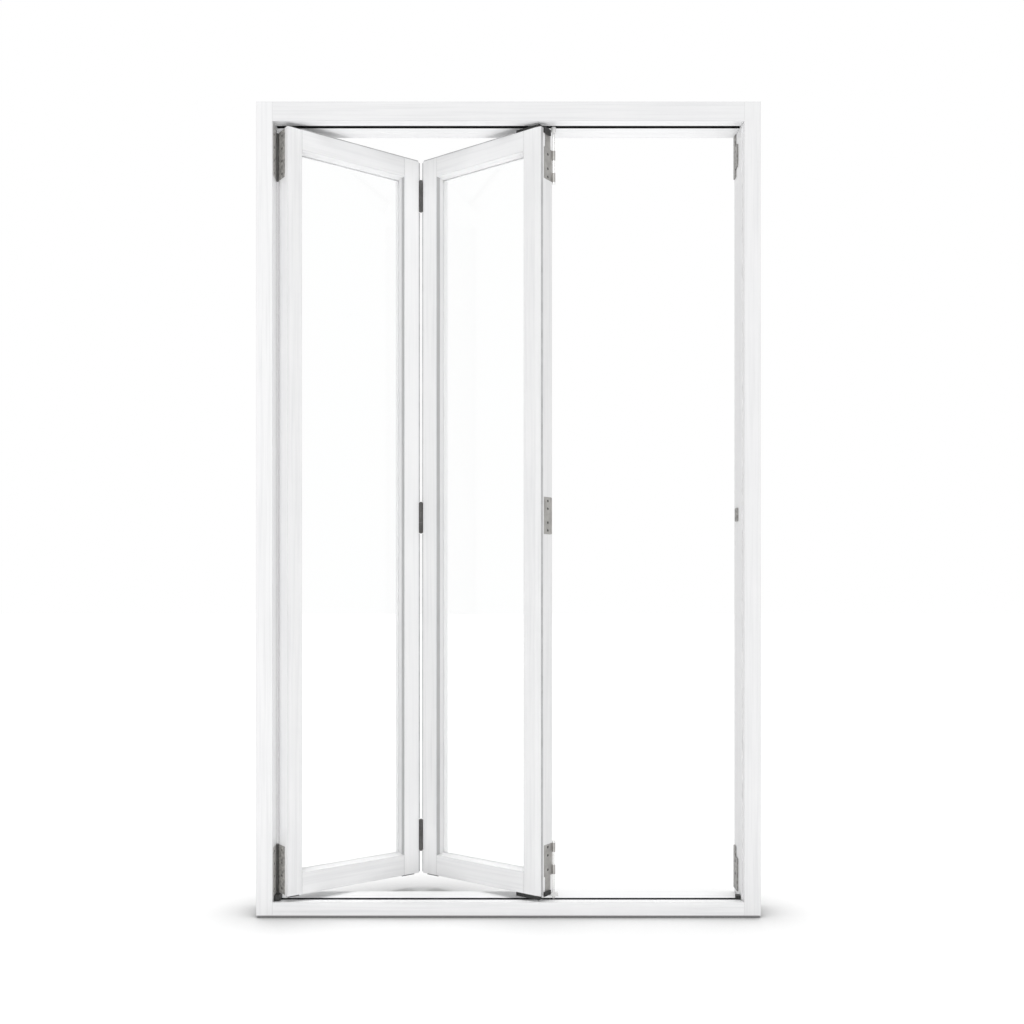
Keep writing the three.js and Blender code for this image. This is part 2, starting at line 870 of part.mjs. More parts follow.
function addLeaf(parent, name, spec) {
  const frame = leafFrame(spec);
  const cover = rebateCover - lipReach;
  const opening = {
    left: spec.left - cover,
    right: leafWidth - spec.right + cover,
    bottom: leafBottom + bottomRail - cover,
    top: leafTop - topRail + cover,
  };
  addPiece(parent, `${name}_${spec.leftName}`, frame.left, whitePaint());
  addPiece(parent, `${name}_${spec.rightName}`, frame.right, whitePaint());
  addPiece(parent, `${name}_top_rail`, frame.top, whitePaint());
  addPiece(parent, `${name}_bottom_rail`, frame.bottom, whitePaint());
  addPiece(parent, `${name}_glazing_bead`, glazingBead(opening), whitePaint());
  const glazing = paneAndSetting(opening);
  addPiece(parent, `${name}_glass_pane`, glazing.pane, clearGlass());
  addPiece(parent, `${name}_setting_strip`, glazing.setting, blackPlastic());
  for (const [place, geometry] of Object.entries(spec.blocks)) {
    addPiece(parent, `${name}_${place}`, geometry, blackRubber());
  }
}

// Recess for a hinge plate in one edge of a leaf, open at the far face.
function edgeRecess(side, low, high) {
  const depth = plateThickness + seat;
  const x = side < 0 ? [-overrun, depth] : [leafWidth - depth, leafWidth + overrun];
  return block(x, [leafThickness - plateWidth - seat, leafThickness + overrun], [low - seat, high + seat]);
}

function sealBlock(x, setback, z) {
  return block(x, [setback, setback + sealBlockThickness], z);
}

const aboveLeaf = [leafTop + seat, leafTop + topBlockHeight];
const belowLeaf = (height) => [leafBottom - height, leafBottom - seat];
function addLeafOne(leafBody) {
  addLeaf(leafBody, 'leaf_1', {
    left: hangingStile,
    right: meetingStile,
    leftName: 'hanging_stile',
    rightName: 'meeting_stile',
    closing: false,
    stileCuts: pivotHinges.map((hinge) => edgeRecess(-1, hinge.low, hinge.high)),
    blocks: {
      top_seal_block: sealBlock([outerBlockNear, outerBlockFar], hiddenBlockSetback, aboveLeaf),
      bottom_seal_block: sealBlock(
        [hangingBlockNear, hangingBlockFar],
        sealBlockSetback,
        belowLeaf(hangingBlockHeight),
      ),
    },
  });
}

// Plates on the free edge of the second leaf

const carrierTop = leafTop - carrierPlateInset;
const carrierBottom = leafBottom + carrierPlateInset;
const carrierPlates = [
  { name: 'top', low: carrierTop - carrierPlateHeight, high: carrierTop },
  { name: 'bottom', low: carrierBottom, high: carrierBottom + carrierPlateHeight },
];

function carrierScrewHeights(plate) {
  if (plate.name === 'top') {
    const first = plate.low + carrierScrewInner;
    return [first, first + carrierScrewStep, plate.high - carrierScrewOuter];
  }
  const last = plate.high - carrierScrewInner;
  return [plate.low + carrierScrewOuter, last - carrierScrewStep, last];
}

function middlePlateScrewHeights() {
  const low = middlePlateCentre - middlePlateHeight / 2 + middleScrewInset;
  const high = middlePlateCentre + middlePlateHeight / 2 - middleScrewInset;
  return [low, low + middleScrewPair, high - middleScrewPair, high];
}

const neckY = [-axisSetback - neckStart - neckWidth, -axisSetback - neckStart];

function neckSpan(plate) {
  if (plate.name === 'top') {
    return [plate.high - plateCorner, leafTop - edgeBlockTopHeight];
  }
  return [leafBottom + edgeBlockBottomHeight, plate.low + plateCorner];
}

function carrierKnuckles(plate) {
  return [
    [plate.low, plate.low + carrierKnuckleHeight],
    [plate.high - carrierKnuckleHeight, plate.high],
  ];
}

// What turns on the bolt between the two knuckles.
function carrierSlot(plate) {
  const reach = carrierKnuckleHeight + knuckleGap;
  return [plate.low + reach, plate.high - reach];
}

function addCarrierPlates(leafAxis) {
  const inner = jambGap / 2;
  for (const plate of carrierPlates) {
    const half = hingeHalf({
      side: -1,
      inner,
      reach: -plateReach,
      low: plate.low,
      high: plate.high,
      own: carrierKnuckles(plate),
      others: [carrierSlot(plate)],
      ends: [plate.low, plate.high],
      bore: boltRadius + boreClearance,
      screws: carrierScrewHeights(plate).map((z) => screwHole([-inner, plateScrewY, z], -1)),
    });
    const neck = block([-inner - plateThickness, -inner], neckY, neckSpan(plate));
    addPiece(leafAxis, `${plate.name}_carrier_plate`, carve([half, neck]), steel());
  }
  const holes = middlePlateScrewHeights().map((z) => screwHole([-inner, plateScrewY, z], -1));
  const middle = edgePlate(
    [-inner - plateThickness, -inner],
    [-plateReach, -axisSetback],
    [middlePlateCentre - middlePlateHeight / 2, middlePlateCentre + middlePlateHeight / 2],
    plateCorner,
  );
  addPiece(leafAxis, 'leaf_2_middle_plate', carve([middle], holes), steel());
}

function addLeafTwo(leafBody) {
  const middleLow = middlePlateCentre - middlePlateHeight / 2;
  const neckDepth = plateThickness + seat;
  const neckRecess = ([low, high]) =>
    block(
      [leafWidth - neckDepth, leafWidth + overrun],
      [farReach + neckY[0] - seat, farReach + neckY[1] + seat],
      [low - seat, high + seat],
    );
  const outer = [leafWidth - outerBlockFar, leafWidth - outerBlockNear];
  const capX = [leafWidth + seat, leafWidth + edgeBlockProud];
  const capY = [leafThickness - edgeBlockStart - edgeBlockWidth, leafThickness - edgeBlockStart];
  addLeaf(leafBody, 'leaf_2', {
    left: innerStile,
    right: closingStile,
    leftName: 'meeting_stile',
    rightName: 'closing_stile',
    closing: true,
    stileCuts: [
      ...carrierPlates.map((plate) => edgeRecess(1, plate.low, plate.high)),
      ...carrierPlates.map((plate) => neckRecess(neckSpan(plate))),
      edgeRecess(1, middleLow, middleLow + middlePlateHeight),
    ],
    blocks: {
      top_seal_block: sealBlock(outer, sealBlockSetback, aboveLeaf),
      bottom_seal_block: sealBlock(outer, sealBlockSetback, belowLeaf(bottomBlockHeight)),
      top_edge_cap: block(capX, capY, [leafTop - edgeBlockTopHeight + seat, leafTop + edgeBlockOverhang]),
      bottom_edge_cap: block(
        capX,
        capY,
        [leafBottom - edgeBlockOverhang, leafBottom + edgeBlockBottomHeight - seat],
      ),
    },
  });
  const grooveStart = closingBevelEdge + sealGrooveSetback;
  const seal = block(
    [leafWidth - sealGrooveDepth + seat, leafWidth - seat],
    [grooveStart + seat, grooveStart + sealGrooveWidth - seat],
    [leafBottom, leafTop],
  );
  addPiece(leafBody, 'leaf_2_edge_seal', seal, greyRubber());
}

// Carrier in the top track and guide in the bottom channel, made round the carrier axis

const axleHeight = trackBottom + trackWall + seat + wheelRadius;

// Two wheels pressed on one axle, turned about the axle's own line.
function wheelSet() {
  const rim = wheelRadius - wheelChamfer;
  const inner = trolleyWidth / 2 + seat;
  const outer = inner + wheelWidth;
  const half = [
    [axleRadius, inner],
    [rim, inner],
    [wheelRadius, inner + wheelChamfer],
    [wheelRadius, outer - wheelChamfer],
    [rim, outer],
    [0, outer],
  ];
  const lower = half.map(([r, h]) => [r, -h]).reverse();
  const points = [...lower, ...half].map(([r, h]) => new THREE.Vector2(r, h));
  return welded(new THREE.LatheGeometry(points, roundSides));
}

function axleBore(x) {
  const cylinder = new THREE.CylinderGeometry(
    axleRadius + boreClearance,
    axleRadius + boreClearance,
    2 * trolleyWidth,
    roundSides,
  );
  return cylinder.translate(x, 0, axleHeight);
}

function addTopCarrier(parent) {
  const plate = carrierPlates[0];
  const nutTop = plate.low - seat;
  const bodyBottom = axleHeight - trolleyHeight / 2;
  const bolt = [
    rod(boltRadius, nutTop - boltNutHeight, boltTop),
    rod(knuckleRadius, nutTop - boltNutHeight, nutTop),
    rod(boltShoulderRadius, boltTop, bodyBottom - seat),
  ];
  addPiece(parent, 'carrier_bolt', carve(bolt), steel());
  const collar = carve(
    [rod(collarRadius, boltTop, boltTop + collarHeight)],
    [rod(boltShoulderRadius + boreClearance, boltTop - overrun, boltTop + collarHeight + overrun)],
  );
  addPiece(parent, 'carrier_collar', collar, whitePlastic());
  const half = trolleyLength / 2;
  const body = block(
    [-half, half],
    [-trolleyWidth / 2, trolleyWidth / 2],
    [bodyBottom, bodyBottom + trolleyHeight],
  );
  const bores = [axleBore(-axleSpacing / 2), axleBore(axleSpacing / 2)];
  addPiece(parent, 'carrier_body', carve([body], bores), steel());
  for (const [name, side] of [['left', -1], ['right', 1]]) {
    const wheels = wheelSet().translate(side * axleSpacing / 2, 0, axleHeight);
    addPiece(parent, `carrier_${name}_wheel_set`, wheels, blackPlastic());
  }
}

function addBottomGuide(parent) {
  const plate = carrierPlates[1];
  const capBottom = plate.high + seat;
  const footTop = leafBottom - footDrop;
  const channelFloor = sillSurface - channelHeight + channelWall;
  const headLow = channelFloor + guideFloorGap;
  const rollerLow = headLow + guideHeadHeight + seat;
  const bolt = [
    rod(boltRadius, headLow, capBottom + boltNutHeight),
    rod(knuckleRadius, capBottom, capBottom + boltNutHeight),
    rod(guideHeadRadius, headLow, headLow + guideHeadHeight),
  ];
  addPiece(parent, 'guide_bolt', carve(bolt), steel());
  const foot = carve(
    [
      block(
        [-footLength / 2, footLength / 2],
        [-footWidth / 2, footWidth / 2],
        [footTop - footHeight, footTop],
      ),
    ],
    [rod(boltRadius + boreClearance, footTop - footHeight - overrun, footTop + overrun)],
  );
  addPiece(parent, 'guide_foot_block', foot, whitePlastic());
  const roller = carve(
    [rod(guideRollerRadius, rollerLow, rollerLow + guideRollerHeight)],
    [rod(boltRadius + boreClearance, rollerLow - overrun, rollerLow + guideRollerHeight + overrun)],
  );
  addPiece(parent, 'guide_roller', roller, blackPlastic());
}

// Assembly

function turnedGroup(parent, x, y, angle) {
  const group = new THREE.Group();
  group.position.set(x, y, 0);
  group.rotation.z = angle;
  parent.add(group);
  return group;
}

const door = new THREE.Group();
addFrame(door);

const leafOneAxis = turnedGroup(door, axisX, axisY, foldAngle);
const leafOneBody = turnedGroup(leafOneAxis, jambGap / 2, -farReach, 0);
addLeafOne(leafOneBody);

const leafTwoAxis = turnedGroup(door, kneeX, kneeY, -foldAngle);
const leafTwoBody = turnedGroup(leafTwoAxis, meetingGap / 2, kneeForward, 0);
addLeafTwo(leafTwoBody);
const freeEdgeAxis = turnedGroup(leafTwoAxis, pitch, kneeReach, 0);
addCarrierPlates(freeEdgeAxis);

for (const hinge of pivotHinges) {
  addPivotHinge(door, leafOneAxis, hinge);
}
for (const hinge of kneeHinges) {
  addKneeHinge(leafOneAxis, leafTwoAxis, hinge);
}

const carrierAxis = turnedGroup(door, carrierX, axisY, 0);
addTopCarrier(carrierAxis);
addBottomGuide(carrierAxis);

export default door;
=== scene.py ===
"""White bifold door set: frame, two folding glazed leaves and ironmongery, in a pale studio."""

import logging
import math
from dataclasses import dataclass, field
from enum import Enum
from functools import partial, reduce
from typing import Callable, Sequence

import bmesh
import bpy
from mathutils import Matrix, Vector


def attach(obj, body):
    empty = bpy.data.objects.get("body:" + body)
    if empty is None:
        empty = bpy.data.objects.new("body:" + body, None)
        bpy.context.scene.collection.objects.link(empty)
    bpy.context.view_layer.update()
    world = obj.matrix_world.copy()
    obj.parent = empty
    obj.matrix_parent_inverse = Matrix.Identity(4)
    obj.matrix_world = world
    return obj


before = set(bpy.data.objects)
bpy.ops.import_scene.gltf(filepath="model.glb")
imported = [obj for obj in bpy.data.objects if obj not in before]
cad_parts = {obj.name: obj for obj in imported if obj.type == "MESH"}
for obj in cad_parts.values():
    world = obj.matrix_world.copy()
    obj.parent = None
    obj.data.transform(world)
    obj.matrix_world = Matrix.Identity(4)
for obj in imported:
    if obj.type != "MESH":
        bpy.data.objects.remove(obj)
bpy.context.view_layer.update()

log = logging.getLogger("bifold_door")

MM = 0.001
FOLD = math.radians(36)
SOFT_ANGLE = math.radians(32)
ARRIS_ANGLE = math.radians(28)
X, Y, Z = Vector((1.0, 0.0, 0.0)), Vector((0.0, 1.0, 0.0)), Vector((0.0, 0.0, 1.0))

# Places of the colours among a Mix node's sockets
FIRST_COLOR, SECOND_COLOR, MIXED_COLOR = 6, 7, 2

Point = tuple[float, float, float]
Outline = Sequence[tuple[float, float]]
Chooser = Callable[[Vector, Vector], bool]
Socket = bpy.types.NodeSocket
Feed = Socket | float | Sequence[float]
Places = list[tuple[Vector, Vector]]


# Named choices


class Body(Enum):
    """The moving bodies that carry a piece of this script's own."""

    FRAME = "frame"
    FIRST_LEAF = "first_leaf"
    SECOND_LEAF = "second_leaf"


class Slot(Enum):
    """The record's material slots."""

    STEEL = "hinge_steel"
    BLACK_RUBBER = "black_rubber"
    GREY_RUBBER = "grey_rubber"


class Grain(Enum):
    """Which way the fine lines of a finish run: stretch of the noise on each axis."""

    ALONG_X = (1.0, 40.0, 40.0)
    ALONG_Z = (40.0, 40.0, 1.0)
    NONE = (1.0, 1.0, 1.0)


# Shader wiring


class Wiring:
    """Short ways to add and join the nodes of one shader tree."""

    def __init__(self, tree: bpy.types.NodeTree) -> None:
        """Keeps the tree that the nodes go in."""
        self.tree = tree

    def put(self, source: Feed, target: Socket) -> None:
        """Feeds a socket.

        Args:
            source: A socket to join to it, or its value, for a colour without its alpha.
            target: The socket.
        """
        if isinstance(source, Socket):
            self.tree.links.new(source, target)
        else:
            target.default_value = (*source, 1.0) if target.type == "RGBA" else source

    def node(
        self, kind: str, feeds: dict[str | int, Feed] | None = None, **settings: object
    ) -> bpy.types.Node:
        """Adds a node with its settings made and its inputs fed.

        Args:
            kind: The node's type, for a shader node without ShaderNode in front.
            feeds: A value, or a socket to join, by the input's name or number.
            **settings: The node's own settings by name.

        Returns:
            The node.
        """
        made = self.tree.nodes.new(kind if "Node" in kind else f"ShaderNode{kind}")
        for name, value in settings.items():
            setattr(made, name, value)
        for key, source in (feeds or {}).items():
            self.put(source, made.inputs[key])
        return made

    def spread(self, value: Socket, low: float, high: float) -> Socket:
        """Stretches the range from low to high so that it runs from 0 to 1."""
        feeds = {"Value": value, "From Min": low, "From Max": high}
        return self.node("MapRange", feeds).outputs["Result"]

    def operate(self, operation: str, first: Socket, second: Socket) -> Socket:
        """Adds an operation of two values."""
        return self.node("Math", {0: first, 1: second}, operation=operation).outputs[0]

    def product(self, *factors: Socket) -> Socket:
        """Multiplies values from the left."""
        return reduce(partial(self.operate, "MULTIPLY"), factors)

    def largest(self, *values: Socket) -> Socket:
        """Takes the largest of some values."""
        return reduce(partial(self.operate, "MAXIMUM"), values)

    def noise(self, place: Socket, scale: Feed, detail: Feed = 2.0) -> Socket:
        """Adds noise at a place."""
        feeds = {"Vector": place, "Scale": scale, "Detail": detail}
        return self.node("TexNoise", feeds).outputs["Fac"]

    def own_place(self) -> Socket:
        """Returns the place in the piece's own coordinates."""
        return self.node("TexCoord").outputs["Object"]

    def arris(self, radius: Socket, samples: int, low: float, high: float) -> Socket:
        """Finds arrises by how far the rounded normal leans from the true one.

        Args:
            radius: Width of the rounding.
            samples: Samples of the rounding.
            low: Cosine of the lean where the mask starts.
            high: Cosine of the lean where the mask is full.

        Returns:
            The mask's socket.
        """
        normals = {
            0: self.node("Bevel", {"Radius": radius}, samples=samples).outputs["Normal"],
            1: self.node("NewGeometry").outputs["Normal"],
        }
        lean = self.node("VectorMath", normals, operation="DOT_PRODUCT")
        return self.spread(lean.outputs["Value"], low, high)

    def blend(self, factor: Socket, first: Socket, second: Socket) -> Socket:
        """Mixes two shaders, of which the second shows where the factor is 1."""
        return self.node("MixShader", {0: factor, 1: first, 2: second}).outputs[0]


# Shared shader effects


class Effect(Wiring):
    """A shader effect that more than one finish uses, as a node group that is built once."""

    name: str
    inputs: dict[str, float | Point]
    outputs: tuple[str, ...] = ("Mask",)

    def __init__(self, tree: bpy.types.NodeTree) -> None:
        """Gives the group its sockets and joins its nodes.

        Args:
            tree: The empty node group.
        """
        super().__init__(tree)
        for label, value in self.inputs.items():
            kind = "NodeSocketVector" if isinstance(value, tuple) else "NodeSocketFloat"
            socket = tree.interface.new_socket(label, in_out="INPUT", socket_type=kind)
            socket.default_value = value
        for label in self.outputs:
            tree.interface.new_socket(label, in_out="OUTPUT", socket_type="NodeSocketFloat")
        self.given = tree.nodes.new("NodeGroupInput").outputs
        for result, target in zip(self.wire(), tree.nodes.new("NodeGroupOutput").inputs):
            self.put(result, target)

    @classmethod
    def group(cls) -> bpy.types.NodeTree:
        """Finds the group, which is built when it is first asked for.

        Returns:
            The node group.
        """
        if cls.name not in bpy.data.node_groups:
            cls(bpy.data.node_groups.new(cls.name, "ShaderNodeTree"))
        return bpy.data.node_groups[cls.name]

    def wire(self) -> tuple[Socket, ...]:
        """Joins the group's nodes and returns what feeds its outputs."""
        raise NotImplementedError


class SurfaceNoise(Effect):
    """Fine stretched noise for grain, orange peel and moulded skin."""

    name = "surface_noise"
    inputs = {
        "Turn": 0.0, "Stretch": (1.0, 1.0, 1.0), "Scale": 100.0, "Detail": 3.0, "Low": 0.0,
        "High": 1.0,
    }
    outputs = ("Value", "Height")

    def wire(self) -> tuple[Socket, ...]:
        """Turns and stretches the place, and spreads the noise there over a range.

        Returns:
            The spread noise and the plain noise.
        """
        place = {"Vector": self.own_place(), "Angle": self.given["Turn"]}
        turned = self.node("VectorRotate", place, rotation_type="Z_AXIS").outputs["Vector"]
        stretch = {0: turned, 1: self.given["Stretch"]}
        stretched = self.node("VectorMath", stretch, operation="MULTIPLY").outputs[0]
        noise = self.noise(stretched, self.given["Scale"], self.given["Detail"])
        spread = {
            "Value": noise, "From Min": 0.3, "From Max": 0.7, "To Min": self.given["Low"],
            "To Max": self.given["High"],
        }
        return self.node("MapRange", spread).outputs["Result"], noise


class EdgeWear(Effect):
    """Mask that is 1 where an arris is rubbed, broken up by noise."""

    name = "edge_wear"
    inputs = {"Radius": 0.001, "Amount": 1.0, "Breakup": 60.0}

    def wire(self) -> tuple[Socket, ...]:
        """Multiplies the arrises by patches.

        Returns:
            The mask.
        """
        arris = self.arris(self.given["Radius"], samples=4, low=0.995, high=0.9)
        noise = self.noise(self.own_place(), self.given["Breakup"])
        patches = self.spread(noise, low=0.42, high=0.62)
        return (self.product(arris, patches, self.given["Amount"]),)


class SettledDust(Effect):
    """Mask of faint dust on faces that look up, 1 under the thickest."""

    name = "settled_dust"
    inputs = {"Amount": 0.3, "Scale": 30.0}

    def wire(self) -> tuple[Socket, ...]:
        """Multiplies the faces that look up by noise.

        Returns:
            The mask.
        """
        normal = self.node("NewGeometry").outputs["Normal"]
        upward = self.node("SeparateXYZ", {0: normal}).outputs["Z"]
        up = self.spread(upward, low=0.7, high=1.0)
        noise = self.noise(self.own_place(), self.given["Scale"], detail=6.0)
        return (self.product(up, noise, self.given["Amount"]),)


class ArrisShade(Effect):
    """Thin mask of painted shade that follows every arris and inner corner."""

    name = "arris_line"
    inputs = {"Radius": 0.002, "Amount": 1.0}

    def wire(self) -> tuple[Socket, ...]:
        """Scales the arrises by the amount."""
        arris = self.arris(self.given["Radius"], samples=6, low=0.998, high=0.93)
        return (self.product(arris, self.given["Amount"]),)


class CreaseShade(Effect):
    """Mask of inner corners for painted shade, 1 in the tightest."""

    name = "crease_shade"
    inputs = {"Distance": 0.02, "Amount": 1.0}

    def wire(self) -> tuple[Socket, ...]:
        """Scales how closed in a place is by the amount.

        Returns:
            The mask.
        """
        shade = self.node("AmbientOcclusion", {"Distance": self.given["Distance"]}, samples=6)
        crease_shade_mask = self.spread(shade.outputs["AO"], low=0.95, high=0.35)
        return (self.product(crease_shade_mask, self.given["Amount"]),)


# Finishes


class MaterialBuilder(Wiring):
    """A material with one Principled shader and short ways to feed it."""

    def __init__(self, name: str) -> None:
        """Makes a node material.

        Args:
            name: The material's name.
        """
        self.material = bpy.data.materials.new(name)
        self.material.use_nodes = True
        super().__init__(self.material.node_tree)
        self.shader = self.tree.nodes["Principled BSDF"]
        self.surface = self.tree.nodes["Material Output"].inputs["Surface"]

    def feed(self, socket: str, source: Feed) -> None:
        """Sets one of the shader's own sockets, or joins a socket to it."""
        self.put(source, self.shader.inputs[socket])

    def effect(self, effect: type[Effect], **values: float | Sequence[float]) -> list[Socket]:
        """Places a shared effect with its own values and returns its outputs in order."""
        return list(self.node("Group", values, node_tree=effect.group()).outputs)

    def mix(self, factor: Socket, first: Socket | Point, second: Socket | Point) -> Socket:
        """Mixes two colours, of which the second shows where the factor is 1."""
        feeds = {0: factor, FIRST_COLOR: first, SECOND_COLOR: second}
        return self.node("Mix", feeds, data_type="RGBA").outputs[MIXED_COLOR]

    def layers(self, base: Point, *coats: tuple[Socket, Point]) -> Socket:
        """Lays colours over a base, each where its mask is 1.

        Args:
            base: The lowest colour.
            *coats: The mask and the colour of each layer, from the lowest up.

        Returns:
            The colour's socket.
        """
        for mask, color in coats:
            base = self.mix(mask, base, color)
        return base

    def bump(self, height: Socket, distance: float, strength: float) -> None:
        """Feeds a height to the shader's normal.

        Args:
            height: Socket with the height.
            distance: Height of the full range, in metres.
            strength: How much of it is used.
        """
        feeds = {"Distance": distance, "Strength": strength, "Height": height}
        self.feed("Normal", self.node("Bump", feeds).outputs["Normal"])


@dataclass(frozen=True)
class Whites:
    """The three tones of one coat of white paint."""

    color: Point
    shade: Point
    line: Point


PLAIN_WHITES = Whites((0.9, 0.9, 0.905), (0.865, 0.867, 0.873), (0.79, 0.792, 0.8))
LEAF_WHITES = Whites((0.91, 0.91, 0.913), (0.875, 0.877, 0.882), (0.81, 0.812, 0.82))
# Painted shade: a darker white for the head and the right jamb
SHADED_FRAME_WHITES = Whites((0.845, 0.845, 0.85), (0.815, 0.817, 0.823), (0.76, 0.762, 0.77))
BEAD_WHITES = Whites((0.95, 0.95, 0.952), (0.93, 0.932, 0.936), (0.89, 0.892, 0.9))
# Painted light: a brighter white for the jambs' reveals and the first leaf's hanging edge
LIT_REVEAL_WHITES = Whites((0.985, 0.985, 0.987), (0.965, 0.967, 0.971), (0.92, 0.922, 0.93))
# Painted shade: a grey white for the lips' walls beside the panes
SHADED_WALL_WHITES = Whites((0.52, 0.52, 0.525), (0.49, 0.492, 0.498), (0.45, 0.452, 0.46))
# Painted shade: a duller white for the bevels beside the panes
SHADED_BEVEL_WHITES = Whites((0.85, 0.85, 0.853), (0.82, 0.822, 0.827), (0.77, 0.772, 0.78))
NYLON_WHITES = Whites((0.8, 0.8, 0.79), (0.76, 0.76, 0.75), (0.78, 0.78, 0.77))


@dataclass(frozen=True)
class SatinPaint:
    """Sprayed white paint on planed timber, with the grain just showing, and painted shade in
    inner corners and along arrises.
    """

    name: str
    whites: Whites = PLAIN_WHITES
    edge: Point = (0.93, 0.93, 0.93)
    # Colour of the painted shade laid along the arrises
    rim: Point = (0.6, 0.602, 0.608)
    # Colour of the painted shade laid in inner corners
    painted_crease_shade: Point = (0.5, 0.5, 0.505)
    dust: Point = (0.74, 0.73, 0.71)
    roughness: tuple[float, float] = (0.36, 0.46)
    grain: Grain = Grain.ALONG_Z
    turn: float = 0.0
    # How much painted shade lies in inner corners, and how far it reaches
    crease_shade_amount: float = 0.2
    crease_shade_reach: float = 20 * MM
    # How much painted shade lies along the arrises
    arris_shade_amount: float = 0.45

    def build(self) -> bpy.types.Material:
        """Makes the painted finish.

        Returns:
            The material.
        """
        make = MaterialBuilder(self.name)
        flow = {"Turn": self.turn, "Stretch": self.grain.value}
        low, high = self.roughness
        cloud = make.effect(SurfaceNoise, Stretch=(1, 1, 1), Scale=7.0, Detail=4.0)[0]
        grain = make.effect(SurfaceNoise, **flow, Scale=3.4, Detail=5.0, Low=-0.5, High=0.8)[0]
        streak = make.effect(SurfaceNoise, **flow, Scale=9.0, Low=low, High=high)[0]
        peel = make.effect(SurfaceNoise, Stretch=(1, 1, 1), Scale=900.0, Detail=2.0)[1]
        wear = make.effect(EdgeWear, Radius=0.9 * MM, Amount=0.8, Breakup=45.0)[0]
        # Painted shade along every arris
        rim = make.effect(ArrisShade, Radius=2.6 * MM, Amount=self.arris_shade_amount)[0]
        # Painted shade in inner corners
        crease_shade_mask = make.effect(CreaseShade, Distance=self.crease_shade_reach, Amount=self.crease_shade_amount)[0]
        dust = make.effect(SettledDust, Amount=0.1, Scale=25.0)[0]
        color = make.layers(
            self.whites.shade, (cloud, self.whites.color), (grain, self.whites.line),
            (wear, self.edge), (rim, self.rim), (crease_shade_mask, self.painted_crease_shade), (dust, self.dust),
        )
        make.feed("Base Color", color)
        make.feed("Roughness", streak)
        make.bump(peel, 0.06 * MM, 0.5)
        make.feed("Specular IOR Level", 0.5)
        return make.material


@dataclass(frozen=True)
class SatinSteel:
    """Satin steel, bare or plated, with rolled lines and rubbed edges."""

    name: str
    color: Point
    shade: Point
    edge: Point
    roughness: tuple[float, float] = (0.34, 0.52)
    metallic: float = 1.0
    cloud: float = 60.0

    def build(self) -> bpy.types.Material:
        """Makes the steel finish.

        Returns:
            The material.
        """
        make = MaterialBuilder(self.name)
        low, high = self.roughness
        lines, ridges = make.effect(
            SurfaceNoise, Stretch=Grain.ALONG_Z.value, Scale=110.0, Low=low, High=high
        )
        cloud = make.effect(SurfaceNoise, Stretch=(1, 1, 1), Scale=self.cloud, Detail=4.0)[0]
        wear = make.effect(EdgeWear, Radius=0.4 * MM, Amount=1.0, Breakup=200.0)[0]
        make.feed("Base Color", make.layers(self.shade, (cloud, self.color), (wear, self.edge)))
        make.feed("Roughness", lines)
        make.bump(ridges, 0.02 * MM, 0.6)
        make.feed("Metallic", self.metallic)
        return make.material


@dataclass(frozen=True)
class DarkSkin:
    """Plain finish of anodised metal, nylon or rubber, with a fine skin."""

    name: str
    color: Point
    light: Point
    roughness: tuple[float, float]
    metallic: float = 0.0
    skin_scale: float = 1200.0
    skin_depth: float = 0.04 * MM
    dusty: float = 0.25
    dust: Point = (0.3, 0.29, 0.28)
    cloud_lift: float = 1.35
    grain: Grain = Grain.NONE

    def build(self) -> bpy.types.Material:
        """Makes the finish.

        Returns:
            The material.
        """
        make = MaterialBuilder(self.name)
        low, high = self.roughness
        skin, pores = make.effect(
            SurfaceNoise, Stretch=self.grain.value, Scale=self.skin_scale, Low=low, High=high
        )
        cloud = make.effect(SurfaceNoise, Stretch=(1, 1, 1), Scale=35.0, Detail=5.0)[0]
        wear = make.effect(EdgeWear, Radius=0.5 * MM, Amount=0.7, Breakup=150.0)[0]
        dust = make.effect(SettledDust, Amount=self.dusty, Scale=60.0)[0]
        lifted = tuple(self.cloud_lift * c for c in self.color)
        coats = ((cloud, lifted), (wear, self.light), (dust, self.dust))
        make.feed("Base Color", make.layers(self.color, *coats))
        make.feed("Roughness", skin)
        make.bump(pores, self.skin_depth, 0.7)
        make.feed("Metallic", self.metallic)
        return make.material


@dataclass(frozen=True)
class ClearGlass:
    """Clear float glass with a faint film on its faces."""

    name: str
    tint: Point = (0.994, 0.998, 0.997)
    index: float = 1.25

    def build(self) -> bpy.types.Material:
        """Makes the glass, which lets lamp light through to what stands behind it.

        Returns:
            The material.
        """
        make = MaterialBuilder(self.name)
        film = make.effect(SurfaceNoise, Stretch=(1, 1, 3), Scale=4.0, Low=0.0, High=0.012)[0]
        make.feed("Base Color", self.tint)
        make.feed("Transmission Weight", 1.0)
        make.feed("IOR", self.index)
        make.feed("Roughness", film)
        shadow = make.node("LightPath").outputs["Is Shadow Ray"]
        clear = make.node("BsdfTransparent").outputs[0]
        make.put(make.blend(shadow, make.shader.outputs[0], clear), make.surface)
        return make.material


